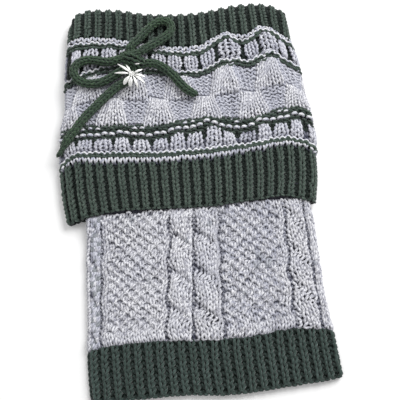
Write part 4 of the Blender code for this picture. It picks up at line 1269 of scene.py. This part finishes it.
def cord_yarn(name, line, scale, end, seed):
    """The cord's own knitting: one yarn that spirals round it in loops, CORD_WALES a turn.

    Round the cord the angle is the place in wales over CORD_WALES turns, along it the yarn
    climbs one course a turn plus the loop's own minus reach cos a.
    """
    noise = np.random.default_rng(seed)
    length = distances(line)
    stitches = int((length[-1] - 1.0) / CORD_COURSE * CORD_WALES)
    place = np.arange(stitches * FRONT_DETAIL + 1) / FRONT_DETAIL
    a = 2 * math.pi * (place - np.floor(place))
    wobble = between_stitches(noise.normal(0, CORD_WOBBLE, (2, stitches + 1)), place)
    along = (0.5 + place / CORD_WALES * CORD_COURSE
             - CORD_LOOP_REACH * np.cos(a) * (1 + wobble[0]))
    along = np.clip(along, 0.0, length[-1])
    turn = 2 * math.pi * (place + LEAN * 0.9 * np.sin(2 * a) + wobble[1]) / CORD_WALES
    taper = tapered(along / length[-1], end)
    out = (CORD_YARN_REACH - CORD_BULGE * np.cos(2 * a)) * scale * taper
    across, above = (read_line(along, length, frame) for frame in path_frames(line))
    normal = np.cos(turn)[:, None] * across + np.sin(turn)[:, None] * above
    yarn = Yarn((read_line(along, length, line) + normal * out[:, None])[None], normal[None],
                (CORD_YARN_RADIUS * (0.6 + 0.4 * taper))[None], np.zeros((1, len(place))),
                (out - CORD_YARN_REACH * scale * taper)[None])
    return yarn_mesh(name, yarn, False, *CORD_PAINTED_SHADE_RANGE)


# Pieces

def number_setting(name, description, default, low, high, subtype="NONE"):
    """A number that a user may change, between two limits."""
    return FloatProperty(name=name, description=description, default=default, min=low, max=high,
                         subtype=subtype)


def colour_setting(name, description, default):
    """A colour that a user may change."""
    return FloatVectorProperty(name=name, description=description, default=default, size=3,
                               min=0.0, max=1.0, subtype="COLOR")


class CalfWarmerSettings(bpy.types.PropertyGroup):
    """Sizes and colours that a user would change."""

    yarn_thickness: number_setting(
        "Yarn thickness", "Thickness of the yarn as a share of the real one", 1.0, 0.7, 1.2,
        "FACTOR")
    ply_length_mm: number_setting(
        "Ply length", "Length of yarn, in millimetres, for one turn of the plies",
        9.0, 3.0, 30.0)
    green: colour_setting("Green", "Colour of the ribs", (0.125, 0.170, 0.138))
    hem_green: colour_setting("Hem green", "Colour of the hem's rib", (0.085, 0.125, 0.115))
    cord_green: colour_setting("Cord green", "Colour of the bow", (0.072, 0.135, 0.062))
    green_dark: colour_setting(
        "Dark green", "Colour of the green yarn's dark fibres", (0.022, 0.040, 0.032))
    grey_light: colour_setting(
        "Light grey", "Light fibres of the marl yarn", (0.86, 0.86, 0.89))
    # Cool patches of the yarn, and also painted shade on sunken boxes and the leg's left strip.
    cool_or_shaded_grey: colour_setting(
        "Cool grey", "Cool patches of the marl yarn", (0.48, 0.50, 0.61))
    grey_dark: colour_setting("Dark grey", "Dark fibres of the marl yarn", (0.24, 0.24, 0.29))
    # The two colours below are painted shade for yarn that lies deep in the knitting.
    green_shade_paint: colour_setting(
        "Green hollows", "Colour of the green yarn deep in the knitting", (0.006, 0.012, 0.010))
    grey_shade_paint: colour_setting(
        "Grey hollows", "Colour of the marl yarn deep in the knitting", (0.07, 0.075, 0.115))
    white: colour_setting("White", "Colour of the white rows", (0.82, 0.82, 0.85))
    silver: colour_setting("Silver", "Colour of the flower", (0.96, 0.96, 0.94))
    silver_metal: number_setting(
        "Silver metal", "How metallic the flower is", 0.75, 0.0, 1.0, "FACTOR")
    floor: colour_setting(
        "Floor", "Colour of the surface under the garment", (0.93, 0.93, 0.93))
    floor_glow: number_setting(
        "Floor glow", "Light that the surface gives off by itself", 0.06, 0.0, 2.0)


# Painted shade: near-black colours for the shells and cord cores that show between the loops.
SHADE_LININGS = {
    "green lining": ((0.006, 0.012, 0.010), (0.015, 0.025, 0.02)),
    "grey lining": ((0.05, 0.05, 0.07), (0.13, 0.13, 0.17)),
}


def finish_named(name):
    """The finish of that name, made once."""
    props = bpy.context.scene.calf_warmer
    greens = {"green rib wool": props.green, "green hem wool": props.hem_green,
              "green cord wool": props.cord_green}
    if name in bpy.data.materials:
        return bpy.data.materials[name]
    if name in greens:
        return yarn_finish(name, greens[name], props)
    if name in SHADE_LININGS:
        return shade_lining_finish(name, *SHADE_LININGS[name])
    return {"matte silver": silver_finish, "pale table": floor_finish}[name](name, props)


def dress(piece, finish):
    """Gives a piece its finish, and lets it ride on the cloth's body."""
    piece.data.materials.append(finish_named(finish))
    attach(piece, "root")
    return piece


# One row for each band: its node, cloth, ends along the cloth, wales, relief, courses, material
# slot, flat size round the tube and along it in metres, seed, lining in painted shade and yarn.
Band = namedtuple("Band", "node cloth first last wales kind courses slot flat seed lining yarn",
                  defaults=("green lining", "green rib wool"))
BANDS = {band.node: band for band in (
    Band("cuff_rib", cuff_cloth, 0.6, 34.4, Wales(46, 4, 46, 4), "rib", CUFF_RIB_COURSES,
         "green_wool", (0.395, 0.0345), 11),
    Band("lower_box_band", cuff_cloth, 34.6, 64.9, Wales(42, 3, 42, 3), "lower",
         LOWER_COURSES, "grey_and_green_wool", (0.398, 0.0305), 12),
    Band("basketweave_band", cuff_cloth, 65.1, 101.9, Wales(45, 4, 45, 5), "basket",
         BASKET_COURSES, "grey_marl_wool", (0.392, 0.037), 13, "grey lining"),
    Band("upper_box_band", cuff_cloth, 102.1, 129.9, Wales(39, 3, 39, 3), "upper",
         UPPER_COURSES, "grey_and_green_wool", (0.378, 0.028), 14),
    Band("top_rib", cuff_cloth, 130.1, MOUTH_END, Wales(40, 4, 40, 4), "rib",
         TOP_RIB_COURSES, "green_wool", (0.365, 0.0436), 15),
    Band("leg_tube", leg_cloth, HEM_TOP + 0.1, LEG_TOP, Wales(45, 2, 45, 2), "leg",
         LEG_COURSES, "grey_marl_wool", (0.355, 0.104), 16, "grey lining"),
    Band("hem_rib", leg_cloth, 0.6, HEM_TOP - 0.1, Wales(44, 2, 44, 2), "hem", HEM_COURSES,
         "green_wool", (0.368, 0.038), 17, yarn="green hem wool"),
)}
YARN_SPLIT = 14
# Depths of the yarn, for each relief, at which it is painted in full shade and in none.
PAINTED_SHADE_RANGE = {"rib": (-2.3, 0.9), "hem": (-2.9, 0.8), "lower": (-1.6, 1.5),
              "upper": (-1.6, 1.5), "basket": (-2.5, 0.4), "leg": (-2.0, 0.5)}


def build_bands(*nodes):
    """Each band's thin shell, and its yarn in pieces of at most YARN_SPLIT courses."""
    for band in (BANDS[node] for node in nodes):
        shell = shell_piece(band.node + "_cloth", band.cloth, band.first, band.last)
        # The shell shows between the loops in painted shade.
        dress(shell, band.lining)
        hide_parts(band.node)
        yarn = yarn_courses(band.cloth, band.courses, band.wales, band.kind, band.seed,
                            bpy.context.scene.calf_warmer.yarn_thickness)
        for first in range(0, len(band.courses), YARN_SPLIT):
            title = "%s_yarn_%d" % (band.node, first // YARN_SPLIT + 1)
            rows = Yarn(*(part[first:first + YARN_SPLIT] for part in yarn))
            piece = yarn_mesh(title, rows, True, *PAINTED_SHADE_RANGE[band.kind])
            dress(piece, band.yarn)


def stand(thing, place, right, up, back):
    """Stands a camera or a lamp at a place in metres, turned to its three directions."""
    axes = np.eye(4)
    axes[:3] = np.stack([right, up, back, place], axis=-1)
    thing.matrix_world = Matrix(axes.tolist())


class CALFWARMER_OT_stage(bpy.types.Operator):
    """Add the camera, the pale table and the soft lights"""

    bl_idname = "calfwarmer.stage"
    bl_label = "Stage"

    def execute(self, context):
        data = bpy.data.cameras.new("camera")
        data.lens = CAMERA_LENS
        data.sensor_width = SENSOR_WIDTH
        data.clip_start = NEAR_CLIP
        context.scene.camera = linked("camera", data)
        stand(context.scene.camera, np.array(CAMERA_PLACE) * MM, CAMERA_RIGHT, CAMERA_UP,
              -np.array(CAMERA_AHEAD))
        mesh = bpy.data.meshes.new("table")
        corners = [(-1, -1), (1, -1), (1, 1), (-1, 1)]
        mesh.from_pydata([(x * TABLE_HALF, y * TABLE_HALF, 0.0) for x, y in corners], [],
                         [(0, 1, 2, 3)])
        mesh.materials.append(finish_named("pale table"))
        table = linked("table", mesh)
        table.location = (0.0, 0.0, TABLE_Z)
        for name, place, size, power in LAMPS:
            lamp = bpy.data.lights.new(name, "AREA")
            lamp.shape = "DISK"
            lamp.size = size
            lamp.energy = power
            back = unit(np.array(place))
            right = unit(np.cross(-back, [0.0, 0.0, 1.0]))
            stand(linked(name, lamp), place, right, np.cross(back, right), back)
        world = bpy.data.worlds.new("soft room")
        world.use_nodes = True
        background = world.node_tree.nodes["Background"]
        background.inputs["Color"].default_value = (1.0, 1.0, 1.0, 1.0)
        background.inputs["Strength"].default_value = ROOM_LIGHT
        context.scene.world = world
        context.scene.view_settings.view_transform = "Standard"
        return {"FINISHED"}


class CALFWARMER_OT_bow(bpy.types.Operator):
    """Add the bow: knitted cord loops, free ends and the wrapped knot"""

    bl_idname = "calfwarmer.bow"
    bl_label = "Bow of knitted cord"

    def execute(self, context):
        parts = (
            ("bow_left_loop", LEFT_LOOP, ("left_loop_upper", "left_loop_lower"), None),
            ("bow_right_loop", RIGHT_LOOP, ("right_loop_left", "right_loop_right"), None),
            ("bow_left_tail", LEFT_TAIL, ("left_tail",), CordEnd(0.17, 0.5, 0.03)),
            ("bow_right_tail", RIGHT_TAIL, ("right_tail",), CordEnd(0.16, 0.15, 0.07)),
        )
        knot = self.knot()
        for seed, (node, route, exits, end) in enumerate(parts):
            line = cord_route(route, *exits)
            taper = tapered(np.linspace(0, 1, len(line)), end)
            core = round_bar(node + "_core", line, CORD_CORE_RADIUS * taper)
            # The core shows between the cord's loops in painted shade.
            dress(core, "green lining")
            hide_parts(node)
            yarn = cord_yarn(node + "_yarn", line, 1.0, end, CORD_SEED + seed)
            dress(yarn, "green cord wool")
        return {"FINISHED"}

    def knot(self):
        """The knot: a rounded core, and a short stout length of the cord arched over it."""
        a, _, c = KNOT_HALF_SIZE
        turn = np.array([math.cos(KNOT_TURN), math.sin(KNOT_TURN), 0.0])
        across = np.linspace(-1, 1, 25)
        line = KNOT_CENTRE + across[:, None] * turn * (a - KNOT_CORE_SHORTENED)
        oval = np.sqrt(np.clip(1 - across**2, 0, 1))
        core = round_bar("bow_knot_core", line, KNOT_CORE_END + (c - KNOT_CORE_INSET) * oval, 16)
        # The core shows between the knot's strands in painted shade.
        dress(core, "green lining")
        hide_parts("bow_knot")
        strands = (("right_loop_left", "left_tail", -1.0),
                   ("right_loop_right", "left_loop_upper", 0.4),
                   ("left_loop_lower", "right_tail", -0.6))
        yarns = []
        for number, (start, end, rise) in enumerate(strands):
            first, last = knot_exit(start)[0], knot_exit(end)[0]
            share = np.linspace(0, 1, 24)[:, None]
            line = first + (last - first) * share
            line[:, 2] += rise * np.sin(math.pi * share[:, 0])
            yarns.append(cord_yarn("bow_knot_strand_%d" % (number + 1), line, 1.0, None,
                                   STRAND_SEED + number))
        wrap = np.linspace(-1, 1, 34)[:, None]
        line = KNOT_CENTRE + wrap * turn * (a - WRAP_SHORTENED)
        line[:, 2:] += WRAP_HEIGHT - WRAP_DROP * wrap**2
        yarns.append(cord_yarn("bow_knot_wrap", line, WRAP_SCALE, None, WRAP_SEED))
        return [core, *(dress(yarn, "green cord wool") for yarn in yarns)]


class CALFWARMER_OT_cuff(bpy.types.Operator):
    """Add the turned-down cuff: its rib, box bands and basketweave"""

    bl_idname = "calfwarmer.cuff"
    bl_label = "Turned-down cuff"

    def execute(self, context):
        build_bands("cuff_rib", "lower_box_band", "basketweave_band", "upper_box_band")
        return {"FINISHED"}


class CALFWARMER_OT_fold(bpy.types.Operator):
    """Add the rib that runs over the fold and into the mouth"""

    bl_idname = "calfwarmer.fold"
    bl_label = "Rib over the fold"

    def execute(self, context):
        build_bands("top_rib")
        return {"FINISHED"}


class CALFWARMER_OT_leg(bpy.types.Operator):
    """Add the cabled leg, the part of it inside the cuff, and the hem's rib"""

    bl_idname = "calfwarmer.leg"
    bl_label = "Leg and hem"

    def execute(self, context):
        build_bands("leg_tube", "hem_rib")
        core = shell_piece("inner_leg_cloth", core_cloth, 0.0, FOLD_START)
        # The shell of the leg inside the cuff is in painted shade.
        dress(core, "grey lining")
        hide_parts("inner_leg")
        return {"FINISHED"}


class CALFWARMER_OT_charm(bpy.types.Operator):
    """Add the metal edelweiss and its ring"""

    bl_idname = "calfwarmer.charm"
    bl_label = "Edelweiss charm"

    def execute(self, context):
        for piece, node in ((flower_piece(), "charm_flower"), (ring_piece(), "charm_ring")):
            dress(piece, "matte silver")
            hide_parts(node)
        return {"FINISHED"}


def on_flower(x, y, z):
    """Points at a height over the flower's sloping plane."""
    plane = FLOWER_CENTRE[2] + x * FLOWER_SLOPE[0] + y * FLOWER_SLOPE[1]
    return np.stack([x + FLOWER_CENTRE[0], y + FLOWER_CENTRE[1], plane + z], axis=-1)


def petal_rings(petal):
    """Rings of points round a petal.

    Its half width at the share s of its length is a sine that starts narrow, is widest at 0.62
    or 0.45 and closes at the tip. Its section is a flat oval with a shallow groove along the
    middle, and its middle line bends sideways with the square of s.
    """
    share = np.linspace(0.0, 1.0, 15)[:, None]
    turn = 2 * math.pi * np.arange(16) / 16
    direction = math.radians(petal.angle)
    broad, taper = (0.62, 0.5) if petal.half_width > 1.4 else (0.45, 0.85)
    rising = np.sin(math.pi * np.clip(share / broad, 0, 1) - math.pi / 2)
    past = np.clip((share - broad) / (1 - broad), 0, 1)
    wide = petal.half_width * (0.55 + 0.45 * rising) * (1 - past**2)**taper + 0.02
    along = PETAL_START + (petal.length - PETAL_START) * share
    aside = petal.bend * share**2 + np.cos(turn) * wide
    x = along * math.cos(direction) - aside * math.sin(direction)
    y = along * math.sin(direction) + aside * math.cos(direction)
    thick = PETAL_THICKNESS * np.sqrt(np.clip(1 - share**3, 0.02, 1))
    groove = (PETAL_GROOVE * np.exp(-(np.cos(turn) / PETAL_GROOVE_HALF_WIDTH)**2)
              * (np.sin(turn) > 0))
    arch = PETAL_ARCH * np.sin(math.pi * share * 0.9) - PETAL_DROOP * share
    return on_flower(x, y, np.sin(turn) * thick - groove * np.sin(math.pi * share) + arch)


def flower_piece():
    """The edelweiss: nine tapered petals round a cluster of small domes."""
    points, faces = [], []
    for number, petal in enumerate(PETALS):
        rings = petal_rings(petal)
        rows, columns = rings.shape[:2]
        index = np.arange(rows * columns).reshape(rows, columns) + number * rows * columns
        points.append(rings.reshape(-1, 3))
        faces += ring_quads(index) + [index[0].tolist(), index[-1][::-1].tolist()]
    polar = np.linspace(0, math.pi, 9)[1:-1, None]
    around = 2 * math.pi * np.arange(12) / 12
    ball = np.stack(np.broadcast_arrays(np.sin(polar) * np.cos(around),
                                        np.sin(polar) * np.sin(around), np.cos(polar)), axis=-1)
    index = np.arange(ball[..., 0].size).reshape(ball.shape[:2])
    ball = np.concatenate([ball.reshape(-1, 3), [[0, 0, 1], [0, 0, -1]]])
    domes = [(0.0, 0.0, 1.0)] + [(DOMES_FROM_MIDDLE * math.cos(angle),
                                  DOMES_FROM_MIDDLE * math.sin(angle), DOME_RADIUS)
                                 for angle in np.arange(DOME_COUNT) * 2 * math.pi / DOME_COUNT]
    for x, y, size in domes:
        first = sum(len(block) for block in points)
        points.append(ball * size + on_flower(x, y, DOMES_HEIGHT))
        faces += capped(index + first, first + index.size)
    return mesh_piece("edelweiss", np.concatenate(points), faces)


def ring_piece():
    """The wire ring: a small circle carried round a larger one."""
    turn = 2 * math.pi * np.arange(RING_STEPS)[:, None] / RING_STEPS
    section = 2 * math.pi * np.arange(RING_SIDES) / RING_SIDES
    reach = RING_RADIUS + RING_WIRE_RADIUS * np.cos(section)
    points = np.stack(np.broadcast_arrays(np.cos(turn) * reach, np.sin(turn) * reach,
                                          RING_WIRE_RADIUS * np.sin(section)), axis=-1)
    points = points @ np.array(Matrix.Rotation(RING_TILT, 3, "X")).T + RING_CENTRE
    index = np.arange(RING_STEPS * RING_SIDES).reshape(RING_STEPS, RING_SIDES)
    return mesh_piece("ring", points, ring_quads(np.concatenate([index, index[:1]])))


OPERATORS = (
    CALFWARMER_OT_stage, CALFWARMER_OT_bow, CALFWARMER_OT_cuff, CALFWARMER_OT_fold,
    CALFWARMER_OT_leg, CALFWARMER_OT_charm,
)


class CALFWARMER_PT_panel(bpy.types.Panel):
    """Lists the calf warmer's sizes, colours and pieces"""

    bl_idname = "CALFWARMER_PT_panel"
    bl_label = "Calf Warmer"
    bl_space_type = "VIEW_3D"
    bl_region_type = "UI"
    bl_category = "Calf Warmer"

    def draw(self, context):
        layout = self.layout
        props = context.scene.calf_warmer
        for name in CalfWarmerSettings.__annotations__:
            layout.prop(props, name)
        for operator in OPERATORS:
            layout.operator(operator.bl_idname)


CLASSES = (CalfWarmerSettings, *OPERATORS, CALFWARMER_PT_panel)


def register():
    for cls in CLASSES:
        bpy.utils.register_class(cls)
    bpy.types.Scene.calf_warmer = PointerProperty(type=CalfWarmerSettings)


def unregister():
    del bpy.types.Scene.calf_warmer
    for cls in reversed(CLASSES):
        bpy.utils.unregister_class(cls)


def main():
    register()
    bpy.ops.calfwarmer.stage()
    bpy.ops.calfwarmer.bow()
    bpy.ops.calfwarmer.cuff()
    bpy.ops.calfwarmer.fold()
    bpy.ops.calfwarmer.leg()
    bpy.ops.calfwarmer.charm()


if __name__ == "__main__":
    main()
